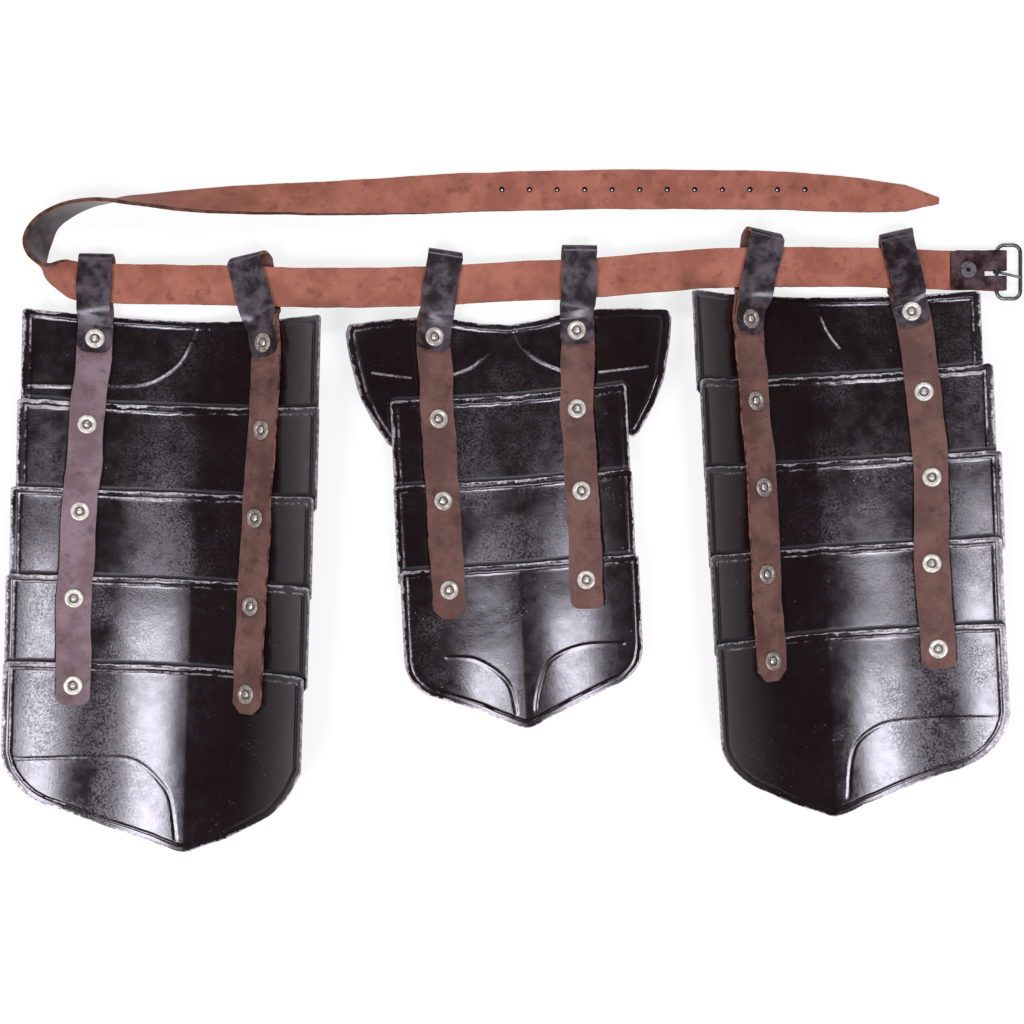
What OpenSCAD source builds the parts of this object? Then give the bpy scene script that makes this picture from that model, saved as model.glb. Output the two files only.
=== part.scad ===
// Armour belt: a leather waist belt with a wire buckle and three hanging
// tassets of riveted steel lames, laid flat with the inner side up.
// Millimetres. +X along the belt, +Y from the plates to the belt, +Z up.
// The origin is on the floor, under the middle of the whole piece.

/* [Belt] */
// Width of the waist belt
belt_w = 31; // [28:1:34]
// Thickness of the belt leather
belt_t = 3; // [2.4:0.1:3.4]
// Number of prong holes
hole_count = 12; // [4:1:12]
// Spacing of the prong holes
hole_pitch = 22; // [16:1:22]
// Diameter of a prong hole
hole_d = 5; // [3.5:0.5:6]
// Width of the blunt end of the tip
tip_w = 5; // [4:1:12]
// Length of the end folded back over the buckle bar
fold_len = 46; // [42:1:60]
// Distance from the fold to the rivet that holds it
fold_rivet_back = 33; // [30:1:36]
// Diameter of the flanges of the fold rivet
fold_rivet_d = 13; // [10:0.5:14]
// Diameter of the tube of the fold rivet
fold_tube_d = 6; // [4:0.5:7]

/* [Buckle] */
// Diameter of the buckle wire
wire_d = 3.2; // [2.6:0.1:3.6]
// Length of the buckle frame along the belt
frame_len = 22; // [20:1:28]
// Room beside the belt inside the buckle frame
frame_play = 4.2; // [3:0.1:6]
// Radius of the frame corners, along the middle of the wire
frame_corner = 6; // [4:0.5:7]
// Diameter of the prong
prong_d = 2.2; // [1.8:0.1:2.6]
// Width of the slot that lets the prong through the fold
slot_w = 6; // [5.6:0.1:6.4]

/* [Plates] */
// Thickness of the sheet steel
plate_t = 1.2; // [0.8:0.1:1.4]
// Gap between two nested lames
plate_gap = 1.6; // [1.4:0.1:2]
// Overlap of two neighbouring lames
overlap = 11; // [8:1:12]
// Radius of each flank of a lame, across the tasset
flank_r = 215; // [205:5:240]
// Width of the side tassets outward of the ridge
side_outer = 134; // [126:1:138]
// Width of the left tasset inward of the ridge
left_inner = 108; // [98:1:110]
// Width of the right tasset inward of the ridge
right_inner = 100; // [94:1:104]
// Half the width of the middle tasset below its wings
middle_half = 92; // [86:1:94]
// Half the width of the middle tasset across its wings
wing_half = 123; // [119:1:125]
// Sideways tilt of the side tassets as they lie, inner rim high
roll = 7.7; // [6:0.1:9]

/* [Lame lengths] */
// Visible height of the first left lame
left_first = 68; // [62:1:74]
// Visible height of each further left lame
left_pitch = 69; // [64:1:74]
// Length of the last left lame along the ridge
left_last = 149; // [130:1:160]
// Visible height of the first middle lame
middle_first = 57; // [54:1:62]
// Visible height of each further middle lame
middle_pitch = 67; // [62:1:74]
// Length of the last middle lame along the ridge
middle_last = 133; // [120:1:145]
// Visible height of the first right lame
right_first = 64; // [60:1:72]
// Visible height of each further right lame
right_pitch = 68; // [64:1:74]
// Length of the last right lame along the ridge
right_last = 148; // [130:1:160]

/* [Straps and rivets] */
// Width of the hanging straps
strap_w = 27; // [23:1:28]
// Thickness of the hanging straps
strap_t = 2.4; // [1.8:0.1:2.6]
// Distance of each rivet below the top edge of its lame
rivet_drop = 17.5; // [17:0.5:20]
// Length of a strap past its last rivet
strap_end = 15.5; // [12:0.5:18]
// Length of a strap's tab past the first rivet
tab_end = 11; // [9.5:0.5:13]
// Slack of a strap loop past the edge of the belt
loop_slack = 4; // [2:0.5:8]
// Diameter of a rivet shank
shank_d = 4; // [3:0.2:4.6]
// Diameter of a domed rivet head
head_d = 9; // [7:0.5:10]
// Height of a domed rivet head
head_h = 2.2; // [1.6:0.1:2.6]
// Diameter of a rivet washer
washer_d = 15.4; // [12:0.2:17]
// Thickness of the rim of a rivet washer
washer_t = 1.6; // [1.2:0.1:2]

/* [Hidden] */
$fn = 64;

// Clearances of the fits
shank_play = 0.1;
leather_play = 0.5;
loop_play = 0.9;
fold_play = 0.4;
ply_gap = 0.2;
ring_play = 0.15;
head_play = 0.3;
edge_play = 1;
// Block that holds one flank of a lame, in any tasset
half_block = [1.5 * side_outer, 600, 120];

// The three tassets: 0 left, 1 middle, 2 right
SIDES = ["left", "middle", "right"];
LAMES = [5, 4, 5];
// Top of each ridge in plan, and the turn of the tasset there
ridge_top = [[-248, 151.5], [-5, 149.3], [231.6, 171.2]];
turn = [-2.2, 2.7, 3.5];
first_pitch = [left_first, middle_first, right_first];
pitch = [left_pitch, middle_pitch, right_pitch];
last_len = [left_last, middle_last, right_last];
inner_half = [left_inner, middle_half, right_inner];
// What each lame adds to the width of its tasset, outward or left, and inward or right
outer_extra = [[-1.5, -0.5, 1.5, 2.5, 2], [0, 3, 3.5, 1.5], [-5, 0, 2, -1, -2]];
inner_extra = [[-1, 1, -1, -1.5, -4], [0, -2, -1, 1], [2, 0, 0.5, 0.5, 0]];
// How far the lower inward corner of a side tasset's last lame is filled out
corner_fill = [-2, 0, 4];
// Height of that edge above the tip, 60 mm out on the other side
outer_cut = [18, 0, 22];
// Centre of each flank beside the ridge: outer or left flank, inner or right flank
flank_x = [[-8, -24], [8, -8], [-8, -24]];
STRAPS = [["outer", "inner"], ["left", "right"], ["outer", "inner"]];
// How far each strap's rivets are from the ridge, lame by lame
strap_x = [
    [[-84.6, -88, -90.8, -92.8, -91], [61, 60.5, 57.5, 56.5, 55.5]],
    [[-62, -61, -60.5, -59], [57, 53.5, 54, 54.5]],
    [[-83, -88.5, -90.5, -86.5, -87.5], [56, 54, 51.5, 53.5, 53]]
];
// Slant of the edges of the middle tasset below its first lame, rise per width
middle_tilt = 0.026;
// How much nearer to the top edge the rivets of a lame sit
rivet_lift = [[0, 0, 0, 0, 0], [9, 3, 5, 1.5], [0, 0, 0, 0, 0]];
// How far each strap leans towards the ridge by the time that it reaches the belt
strap_lean = [[2, -17], [10, 0], [13.5, -17]];
// How much longer the straps of a tasset end past their last rivets
end_extra = [0, 7.5, 0.5];
// Slack of each strap loop past that of the tightest
loop_extra = [[-2, 0], [2.5, 1], [2.5, 3]];
// Highest place of the first lame under its straps
strap_rise = [3, 8, 3];

// Lower run of the belt: [middle in Y, height of its underside] every 48 mm from the fold
run_x = 388;
run_step = 48;
run = [
    [192.2, 1.2], [192.4, 7.6], [192.8, 14], [192.8, 21.5],
    [192, 28.2], [190.6, 25.4], [188, 20], [184.4, 16.3],
    [182.6, 15.2], [179.8, 15.8], [177.4, 18], [176.4, 22.5],
    [176.4, 26.5], [178, 25], [179.6, 17.5], [181.2, 12.4]
];
// The turn at the left and the upper run: X, Y, lift off the floor, width direction, taper
turn_run = [
    [-284, 179.6, 17.5, 0, -1, 0, 0],
    [-332, 181.2, 12.4, 0, -1, 0, 0],
    [-346, 182.8, 10.8, 0, -1, -0.03, 0],
    [-358, 186.5, 4, -0.25, -0.66, -0.7, 0],
    [-368, 190, 2, -0.33, -0.2, -0.92, 0],
    [-374.5, 195.5, 1, -0.1, 0, -1, 0],
    [-378, 205, 0.5, 0.25, 0.05, -0.97, 0],
    [-377.5, 215.5, 0, 0.4, -0.08, -0.9, 0],
    [-370, 229, 0, 0.28, -0.1, -0.95, 0],
    [-355, 239, 0, 0.15, -0.05, -0.98, 0],
    [-338.5, 244.5, 0, 0.05, 0.03, -1, 0],
    [-323, 246.5, 0, -0.1, 0.12, -0.99, 0],
    [-306, 247, 0, -0.17, 0.3, -0.93, 0],
    [-286, 246.7, 0, -0.18, 0.43, -0.88, 0],
    [-262, 246.8, 0, -0.18, 0.6, -0.78, 0],
    [-228, 247.5, 0, -0.16, 0.74, -0.65, 0],
    [-192, 248.4, 0, -0.1, 0.82, -0.56, 0],
    [-147, 249.7, 0, -0.05, 0.9, -0.44, 0],
    [-97, 252, 0, 0, 0.96, -0.26, 0],
    [-58, 254, 0, 0, 1, -0.1, 0],
    [-28, 255.5, 0, 0, 1, 0, 0],
    [18, 257, 0, 0, 1, 0, 0],
    [88, 257.8, 0, 0, 1, 0, 0],
    [158, 257.6, 0, 0, 1, 0, 0],
    [218, 256.4, 0, 0, 1, 0, 1],
    [270, 253.4, 0, 0, 1, 0, 3.5],
    [308, 250.8, 0, 0, 1, 0, 9.5],
    [316, 250.2, 0, 0, 1, 0, 12.5],
    [339, 248.8, 0, 0, 1, 0, belt_w - tip_w]
];
// Row of prong holes
hole_x = -10;
hole_y = 257.5;

// Fold round the buckle bar
bar_r = wire_d / 2;
bend_r = bar_r + fold_play + belt_t / 2;
bend_x = 387;
bar_x = bend_x - 3;
slot_back = 10.5;
// The slot lies over the middle of the slanting prong
slot_shift = 1.3;
bar_y = run_at(bar_x)[0] - 1;
bar_z = run_at(bend_x)[1] + belt_t / 2 + bend_r;
bar_gap = frame_len - wire_d;
frame_w = belt_w + 2 * frame_play + wire_d;
fold_rivet_x = bend_x + bend_r + belt_t / 2 - fold_rivet_back;
// Where the prong rests on the far bar: inward of its middle, and beside the belt's middle
prong_reach = bar_gap - 1.2;
prong_side = 4.5;
prong_ring_r = bar_r + ring_play + 1.2;
rest_r = bar_r + prong_d / 2 + 0.1;
prong_tip_z = sqrt(rest_r * rest_r - pow(bar_gap - prong_reach, 2));
flange_t = 1;

// Nodes
function lame_name(i, k) = str(SIDES[i], "_tasset_lame_", k + 1);
function strap_name(i, s) = str(SIDES[i], "_tasset_", STRAPS[i][s], "_strap");

// General functions
function unit(v) = v / norm(v);
function smooth(u) = let (c = min(max(u, 0), 1)) c * c * (3 - 2 * c);
// Smooth curve through points p, at a share u of the way from point i to the next
function curve(p, i, u) = let (
    n = len(p) - 1,
    a = p[max(i - 1, 0)], b = p[i], c = p[min(i + 1, n)], d = p[min(i + 2, n)]
) (2 * b + (c - a) * u + (2 * a - 5 * b + 4 * c - d) * u * u
    + (3 * b - a - 3 * c + d) * u * u * u) / 2;

// Corners of a flat band, four for each station [middle, width direction, width]
function band_points(band, thick) = [
    for (i = [0:len(band) - 1])
        let (
            before = band[max(i - 1, 0)][0],
            after = band[min(i + 1, len(band) - 1)][0],
            across = unit(band[i][1]),
            up = unit(cross(after - before, across)),
            w = across * band[i][2] / 2,
            h = up * thick / 2,
            mid = band[i][0]
        ) each [mid - w - h, mid + w - h, mid + w + h, mid - w + h]
];

function band_faces(n) = concat(
    [[0, 1, 2], [0, 2, 3]],
    [
        for (i = [0:n - 2], j = [0:3])
            let (a = 4 * i + j, b = 4 * i + (j + 1) % 4)
                each [[a, a + 4, b + 4], [a, b + 4, b]]
    ],
    [for (e = 4 * (n - 1)) each [[e, e + 2, e + 1], [e, e + 3, e + 2]]]
);

module band(stations, thick) {
    polyhedron(band_points(stations, thick), band_faces(len(stations)), convexity = 6);
}

// Belt
// Middle in Y and height of the underside of the lower run at x
function run_at(x) = let (
    f = (run_x - x) / run_step,
    i = min(max(floor(f), 0), len(run) - 2)
) curve(run, i, f - i);
function run_slope(x) = (run_at(x + 10)[1] - run_at(x - 10)[1]) / 20;
function run_mid(x, lift) = [x, run_at(x)[0], run_at(x)[1] + belt_t / 2 + lift];
// How far the folded end lies above the run below it
function fold_lift(x) = let (flat = belt_t + ply_gap)
    flat + (2 * bend_r - flat) * smooth((x - bar_x + 14) / 11);

// A place of the turn: it rests on its lower edge, apart from its lift
function turn_place(v) = let (
    d = unit([v[3], v[4], v[5]]),
    z = v[2] + belt_w / 2 * abs(d.z) + belt_t / 2 * sqrt(1 - d.z * d.z)
) [[v[0], v[1], z], d, belt_w - v[6]];

function belt_stations() = let (
    south = [0, -1, 0],
    fold_end = bend_x + bend_r + belt_t / 2 - fold_len,
    bend_mid = run_mid(bend_x, bend_r)
) concat(
    [for (c = [[0, 8], [1.2, 4], [4, 1], [8, 0]])
        let (x = fold_end + c[0]) [run_mid(x, fold_lift(x)), south, belt_w - c[1]]],
    [for (x = [fold_end + 14:4:bend_x - 2]) [run_mid(x, fold_lift(x)), south, belt_w]],
    [for (a = [90:-22.5:-90])
        [bend_mid + bend_r * [cos(a), 0, sin(a)], south, belt_w]],
    [for (x = [bend_x - 7:-12:turn_run[1][0] - 4]) [run_mid(x, 0), south, belt_w]],
    [for (i = [1:len(turn_run) - 2], u = [0, 1 / 3, 2 / 3])
        turn_place(curve(turn_run, i, u))],
    [turn_place(turn_run[len(turn_run) - 1])]
);

// Square to the belt at the fold rivet, with z = 0 on its underside
module at_fold_rivet() {
    translate([fold_rivet_x, run_at(fold_rivet_x)[0], run_at(fold_rivet_x)[1]])
        rotate([0, -atan(run_slope(fold_rivet_x)), 0])
            children();
}

module belt_strap() {
    color("#8f5344")
    difference() {
        band(belt_stations(), belt_t);
        for (k = [0:hole_count - 1])
            translate([hole_x + k * hole_pitch, hole_y, -1])
                cylinder(d = hole_d, h = belt_t + 4);
        translate([bar_x - slot_back, bar_y - slot_shift - slot_w / 2, 0])
            cube([bend_x + bend_r + belt_t - bar_x + slot_back, slot_w, 2 * bar_z]);
        at_fold_rivet()
            translate([0, 0, -4])
                cylinder(d = fold_tube_d + 2 * shank_play, h = 2 * belt_t + 12);
    }
}

// Fold rivet: a tube with a rolled flange at each end
module buckle_rivet() {
    top = 2 * belt_t + 3 * ply_gap;
    color("#4a4550")
    at_fold_rivet()
    difference() {
        union() {
            translate([0, 0, -ply_gap - flange_t])
                cylinder(d = fold_tube_d, h = top + ply_gap + 2 * flange_t);
            translate([0, 0, -ply_gap - flange_t])
                cylinder(d = fold_rivet_d, h = flange_t);
            translate([0, 0, top])
                cylinder(d = fold_rivet_d, h = flange_t);
        }
        translate([0, 0, -3])
            cylinder(d = fold_tube_d - 2, h = top + 8);
    }
}

// Buckle, from the middle of its near bar
module at_bar() {
    translate([bar_x, bar_y, bar_z])
        children();
}

module buckle_frame() {
    half = frame_w / 2;
    color("#3b3a40")
    at_bar() {
        for (x = [0, bar_gap])
            translate([x, -half + frame_corner, 0])
                rotate([-90, 0, 0])
                    cylinder(d = wire_d, h = frame_w - 2 * frame_corner);
        for (y = [-half, half])
            translate([frame_corner, y, 0])
                rotate([0, 90, 0])
                    cylinder(d = wire_d, h = bar_gap - 2 * frame_corner);
        for (x = [0, 1], y = [-1, 1])
            translate([x * bar_gap - (2 * x - 1) * frame_corner, y * (half - frame_corner), 0])
                rotate_extrude(angle = 90, start = x == 0 ? (y < 0 ? 180 : 90) : (y < 0 ? 270 : 0))
                    translate([frame_corner, 0])
                        circle(d = wire_d);
    }
}

module buckle_prong() {
    shaft = [prong_reach, -prong_side, prong_tip_z];
    aim = norm([shaft.x, shaft.y]);
    color("#2f2e33")
    at_bar()
    difference() {
        union() {
            translate([0, 1.3, 0])
                rotate([90, 0, 0])
                    cylinder(r = prong_ring_r, h = 2.6);
            rotate([0, 0, atan2(shaft.y, shaft.x)])
                rotate([0, 90 - atan2(shaft.z, aim), 0])
                    cylinder(d = prong_d, h = norm(shaft));
            translate(shaft)
                sphere(d = prong_d);
        }
        translate([0, 4, 0])
            rotate([90, 0, 0])
                cylinder(r = bar_r + ring_play, h = 8);
    }
}

// Tassets
// Each has its own frame: origin at the top of its ridge, y up along the ridge,
// x across, positive towards the middle of the belt on a side tasset, z up
function side(i) = i == 2 ? -1 : 1;
function roll_of(i) = i == 1 ? 0 : roll;
function centre_x(i, x) = flank_x[i][x < 0 ? 0 : 1];
function centre_z(i, x) = sqrt(flank_r * flank_r - pow(centre_x(i, x), 2));
function lean(i, x) = asin((x - centre_x(i, x)) / flank_r);
function flank_point(i, x, y, r) = [
    centre_x(i, x) + r * sin(lean(i, x)), y, centre_z(i, x) - r * cos(lean(i, x))
];
// Height of the ridge when the lowest line of the plates touches the floor
function rest_z(i) = i == 1 ? 0
    : flank_r - centre_z(i, -1) * cos(roll) - flank_x[i][0] * sin(roll);
function rolled(i, v) = [
    v.x * cos(roll_of(i)) - v.z * sin(roll_of(i)), v.y,
    v.x * sin(roll_of(i)) + v.z * cos(roll_of(i))
];
function turned(i, v) = [
    side(i) * v.x * cos(turn[i]) - v.y * sin(turn[i]),
    side(i) * v.x * sin(turn[i]) + v.y * cos(turn[i]), v.z
];
function world_way(i, v) = turned(i, rolled(i, v));
function world(i, v) = [ridge_top[i].x, ridge_top[i].y, rest_z(i)] + world_way(i, v);

// A place in the tasset's own frame
module in_tasset(i) {
    translate([ridge_top[i].x, ridge_top[i].y, rest_z(i)])
        rotate([0, 0, turn[i]])
            mirror([i == 2 ? 1 : 0, 0, 0])
                rotate([0, -roll_of(i), 0])
                    children();
}

// Lames, numbered from 0 at the belt
function tilt(points, t) = [for (p = points) [p.x, p.y + t * p.x]];
function lame_top(i, k) = k == 0 ? 0 : -first_pitch[i] - (k - 1) * pitch[i];
function is_last(i, k) = k == LAMES[i] - 1;
// A lame reaches down as far as the overlap, but stays clear of the next lame's rivet heads
function overlap_under(i, k) = min(overlap, rivet_drop - rivet_lift[i][k + 1] - head_d / 2 - edge_play);
function lame_len(i, k) = is_last(i, k) ? last_len[i]
    : (k == 0 ? first_pitch[i] : pitch[i]) + overlap_under(i, k);
function top_rise(i, k) = k == 0 ? strap_rise[i] : 0;
// How much nearer its axis a lame is at its top edge than at its lower edge
function nest_drop(i) = (plate_t + plate_gap) * (pitch[i] + overlap) / pitch[i];

// Sheet of one flank: a slice of a cone, wide enough for any outline
module flank_sheet(i, k, x) {
    rise = top_rise(i, k);
    slope = nest_drop(i) / (lame_len(i, k) + rise);
    high = rise + 12;
    low = -lame_len(i, k) - (is_last(i, k) ? 0 : 34);
    r_high = flank_r - nest_drop(i) - slope * (high - rise);
    r_low = flank_r - nest_drop(i) + slope * (rise - low);
    translate([centre_x(i, x), lame_top(i, k), centre_z(i, x)])
        rotate([-90, 0, 0])
            rotate_extrude(angle = 90, start = 45)
                polygon([
                    [r_low - plate_t, low], [r_low, low],
                    [r_high, high], [r_high - plate_t, high]
                ]);
}

// Outlines in plan, from each lame's own top at the ridge
function side_top(i, k) = k > 0 ? [[-1, 0.5], [0, 0], [1, 0.5]]
    : i == 0 ? [[-1, 3], [0, -0.5], [1, 3]]
    : [[-1, -5.5], [0, -0.5], [1, 5]];
function side_outline(i, k) = let (
    o = side_outer + outer_extra[i][k],
    n = inner_half[i] + inner_extra[i][k],
    f = corner_fill[i],
    t = side_top(i, k),
    e = lame_len(i, k)
) concat(
    [[-o, t[0].y - 2], [-o + 2, t[0].y], [-o / 2, (t[0].y + t[1].y) / 2 - 0.5], [0, t[1].y]],
    [[n / 2, (t[1].y + t[2].y) / 2 - 0.5], [n - 2, t[2].y], [n, t[2].y - 2]],
    is_last(i, k)
        ? [
            [n, 76 - e], [n + f - 3, 67 - e], [n + f - 9, 55 - e], [n + f - 27, 37 - e],
            [36, 15 - e], [0, -e], [-60, outer_cut[i] - e], [-o + 25, 38 - e],
            [-o + 11, 50 - e], [-o + 3, 64 - e], [-o, 78 - e]
        ]
        : [[n, 3 - e], [n - 3, -e], [3 - o, -e], [-o, 3 - e]]
);
function middle_outline(k) = let (
    h = middle_half + inner_extra[1][k],
    g = middle_half + outer_extra[1][k],
    e = lame_len(1, k),
    w = wing_half
) k == 0
    ? [
        [0, 0], [22, 2], [42, 5.4], [71, 7.5], [98, 5.5], [w, 1], [w + 2, -6], [w + 1, -20],
        [w - 5, -52], [w - 13, -71], [w - 25, -92], [w - 29, -95], [w - 34, -92],
        each tilt([[71, 2 - e], [66, -e], [-66, -e], [-71, 2 - e]], middle_tilt),
        [34 - w, -92], [29 - w, -95], [25 - w, -92], [13 - w, -71], [5 - w, -52],
        [-w - 1, -20], [-w - 2, -6], [-w, 1], [-98, 5.5], [-71, 7.5], [-42, 5.4], [-22, 2]
    ]
    : tilt(concat(
        [[2 - g, 1.5], [0, 0], [h - 2, 1.5], [h, -0.5]],
        is_last(1, k)
            ? [
                [h, 62 - e], [h - 2, 50 - e], [h - 7, 41 - e], [h - 15, 35 - e], [44, 20.5 - e],
                [0, -e], [-44, 22 - e], [17 - g, 34.5 - e], [8 - g, 41 - e], [2 - g, 52 - e],
                [-g, 64 - e]
            ]
            : [[h, 3 - e], [h - 3, -e], [3 - g, -e], [-g, 3 - e]],
        [[-g, -0.5]]
    ), middle_tilt);
function outline(i, k) = i == 1 ? middle_outline(k) : side_outline(i, k);

// Where a strap crosses the plates, and where its rivets are
function strap_at(i, s, y) = lookup(y, [
    for (k = [0:LAMES[i] - 1]) [rivet_y(i, s, k), strap_x[i][s][k]]
]);
function rivet_y(i, s, k) = lame_top(i, k) - rivet_drop + rivet_lift[i][k]
    + (i == 1 && k > 0 ? middle_tilt * strap_x[i][s][k] : 0);
// Distance of the underside of a strap from the axis of its flank
function strap_r(i) = sqrt(
    pow(flank_r - nest_drop(i) - plate_t - leather_play, 2) - strap_w * strap_w / 4
);

// Square to the plate at a rivet: z = -r is a distance of r from the axis of the flank
module at_rivet(i, s, k) {
    x = strap_x[i][s][k];
    in_tasset(i)
        translate([centre_x(i, x), rivet_y(i, s, k), centre_z(i, x)])
            rotate([0, -lean(i, x), 0])
                children();
}

module lame(i, k) {
    shape = outline(i, k);
    color("#2c272a")
    difference() {
        in_tasset(i)
            for (x = [-1, 1])
                intersection() {
                    flank_sheet(i, k, x);
                    translate([0, lame_top(i, k), -10])
                        linear_extrude(90)
                            polygon(shape);
                    translate([x < 0 ? -half_block.x : 0, -500, -20])
                        cube(half_block);
                }
        for (s = [0, 1])
            at_rivet(i, s, k)
                translate([0, 0, -flank_r - 2])
                    cylinder(d = shank_d + 2 * shank_play, h = 12);
    }
}

// Distance of the outer face of a lame from its axis at its rivets
function rivet_r(i, k) = let (rise = top_rise(i, k))
    flank_r - nest_drop(i) + nest_drop(i) * (rise + rivet_drop) / (lame_len(i, k) + rise);
// Plies of leather under a washer: the first rivet holds the strap and its tab
function plies(k) = k == 0 ? 2 : 1;
function washer_r(i, k) = strap_r(i) - plies(k) * strap_t - (plies(k) - 1) * ply_gap - leather_play;
washer_floor = washer_t / 2;
peen_h = 1.1;
peen_d = shank_d + 1.6;

module rivets(i, k) {
    outer = rivet_r(i, k) + head_play;
    inner = washer_r(i, k) - washer_floor - 0.1;
    ball = (head_d * head_d / 4 + head_h * head_h) / (2 * head_h);
    peen = (peen_d * peen_d / 4 + peen_h * peen_h) / (2 * peen_h);
    color("#8d8a8c")
    for (s = [0, 1])
        at_rivet(i, s, k) {
            translate([0, 0, -outer - head_h / 2])
                cylinder(d = shank_d, h = outer - inner + (head_h + peen_h) / 2);
            intersection() {
                translate([0, 0, -outer - head_h + ball])
                    sphere(ball);
                translate([0, 0, -outer - 2 * head_h])
                    cylinder(d = 2 * head_d, h = 2 * head_h);
            }
            intersection() {
                translate([0, 0, -inner + peen_h - peen])
                    sphere(peen);
                translate([0, 0, -inner])
                    cylinder(d = 2 * peen_d, h = 2 * peen_h);
            }
        }
}

// A washer has a raised rim round a sunk floor
module washers(i, k) {
    r = washer_d / 2;
    hole = shank_d / 2 + shank_play;
    color("#b9b6b8")
    for (s = [0, 1])
        at_rivet(i, s, k)
            translate([0, 0, -washer_r(i, k)])
                rotate_extrude()
                    polygon([
                        [hole, 0], [r - 0.5, 0], [r, 0.5], [r - 0.6, washer_t],
                        [r - 2.4, washer_t], [r - 3, washer_floor], [hole, washer_floor]
                    ]);
}

// Straps: each runs up the plates, under the belt, over its far edge and back to a tab
function strap_stations(i, s) = let (
    r = strap_r(i) - strap_t / 2,
    r_tab = r - strap_t - ply_gap,
    y_first = rivet_y(i, s, 0),
    y_last = rivet_y(i, s, LAMES[i] - 1) - strap_end - end_extra[i],
    y_tab = y_first - tab_end,
    belt_x = world(i, flank_point(i, strap_at(i, s, y_first), y_first, r)).x
        + side(i) * strap_lean[i][s],
    belt_y = run_at(belt_x)[0],
    low_z = run_at(belt_x)[1] - loop_play - strap_t / 2,
    high_z = run_at(belt_x)[1] + belt_t + loop_play + strap_t / 2,
    near = belt_y - belt_w / 2 - 1.5,
    far = belt_y + belt_w / 2 + loop_slack + loop_extra[i][s],
    loop_r = (high_z - low_z) / 2,
    reach = near - world(i, flank_point(i, strap_at(i, s, y_first), 0, r)).y,
    across = side(i) * [1, 0, run_slope(belt_x)],
    ends = [[0, 0.4], [1, 0.62], [3, 0.84], [6, 0.96], [9, 1]],
    rise = min(strap_rise[i], reach - 1.5)
) concat(
    [for (e = ends) plate_station(i, s, y_last + e[0], r, reach, e[1])],
    [for (u = [0.2:0.2:1])
        plate_station(i, s, (1 - u) * (y_last + 9) + u * y_first, r, reach, 1)],
        [for (y = [y_first + 6, y_first + 12, (y_first + 12 + rise) / 2, rise])
            plate_station(i, s, y, r, reach, 1)],
    [for (y = [near, belt_y, far]) [[belt_x, y, low_z], across, strap_w]],
    [for (a = [-67.5:22.5:67.5])
        [[belt_x, far + loop_r * cos(a), low_z + loop_r + loop_r * sin(a)], across, strap_w]],
    [for (y = [far, belt_y, near - 0.5]) [[belt_x, y, high_z], across, strap_w]],
    [for (y = [y_first + 12.5, y_first + 6, y_first, y_tab + 9]) plate_station(i, s, y, r_tab, reach, 1)],
    [for (e = [3:-1:0]) plate_station(i, s, y_tab + ends[e][0], r_tab, reach, ends[e][1])]
);
// A place of a strap that lies on the plates, leaning over above the first rivet
function plate_station(i, s, y, r, reach, share) = let (
    y_first = rivet_y(i, s, 0),
    x = strap_at(i, s, y) + strap_lean[i][s] * smooth((y - y_first) / (reach - y_first))
) [
    world(i, flank_point(i, x, y, r)),
    world_way(i, [cos(lean(i, x)), 0, sin(lean(i, x))]),
    strap_w * share
];

module strap(i, s) {
    color("#5f4240")
    difference() {
        band(strap_stations(i, s), strap_t);
        for (k = [0:LAMES[i] - 1])
            at_rivet(i, s, k)
                translate([0, 0, -flank_r - 2])
                    cylinder(d = shank_d + 2 * leather_play, h = 16);
    }
}

belt_strap();
buckle_frame();
buckle_prong();
buckle_rivet();
for (i = [0:2]) {
    for (s = [0:1])
        strap(i, s);
    for (k = [0:LAMES[i] - 1]) {
        lame(i, k);
        rivets(i, k);
        washers(i, k);
    }
}
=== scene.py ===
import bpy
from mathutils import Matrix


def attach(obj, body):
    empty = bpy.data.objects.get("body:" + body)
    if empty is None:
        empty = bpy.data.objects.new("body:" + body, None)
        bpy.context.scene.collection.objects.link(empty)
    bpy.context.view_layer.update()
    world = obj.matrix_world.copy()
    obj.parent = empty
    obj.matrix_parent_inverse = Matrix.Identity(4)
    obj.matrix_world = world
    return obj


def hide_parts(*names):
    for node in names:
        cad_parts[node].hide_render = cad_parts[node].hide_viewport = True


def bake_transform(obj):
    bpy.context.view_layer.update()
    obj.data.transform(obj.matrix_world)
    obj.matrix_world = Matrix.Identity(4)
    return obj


bl_info = {
    "name": "Armour Belt with Three Tassets",
    "version": (1, 0, 0),
    "blender": (4, 5, 0),
    "location": "3D View > Sidebar > Armour Belt",
    "description": "Plates, straps, belt, washers and finishes of an armour belt laid flat",
    "category": "Object",
}

import math
from types import SimpleNamespace

import bpy
import numpy as np
from mathutils import Vector

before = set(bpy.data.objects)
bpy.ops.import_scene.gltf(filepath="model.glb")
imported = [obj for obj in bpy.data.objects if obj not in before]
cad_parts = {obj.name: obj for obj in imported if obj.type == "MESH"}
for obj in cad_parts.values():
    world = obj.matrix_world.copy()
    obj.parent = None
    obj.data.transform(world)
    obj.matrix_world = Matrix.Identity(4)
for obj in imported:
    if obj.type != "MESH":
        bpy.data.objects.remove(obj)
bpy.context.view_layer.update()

# Lengths in the tables are millimetres, as in the part's source. Meshes are metres.
MM = 0.001

# The three tassets, as the part's source sets them out

FLANK_R = 215.0
PLATE_GAP = 1.6
OVERLAP = 11.0
RIVET_DROP = 17.5
HEAD_D = 9.0
EDGE_PLAY = 1.0
WING_HALF = 123.0
MIDDLE_TILT = 0.026
# Room between leather and steel, round the belt in a loop, between two plies and past the belt's top edge
LEATHER_PLAY = 0.5
LOOP_PLAY = 1.3
PLY_GAP = 0.2
LOOP_SLACK = 4.0
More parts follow.
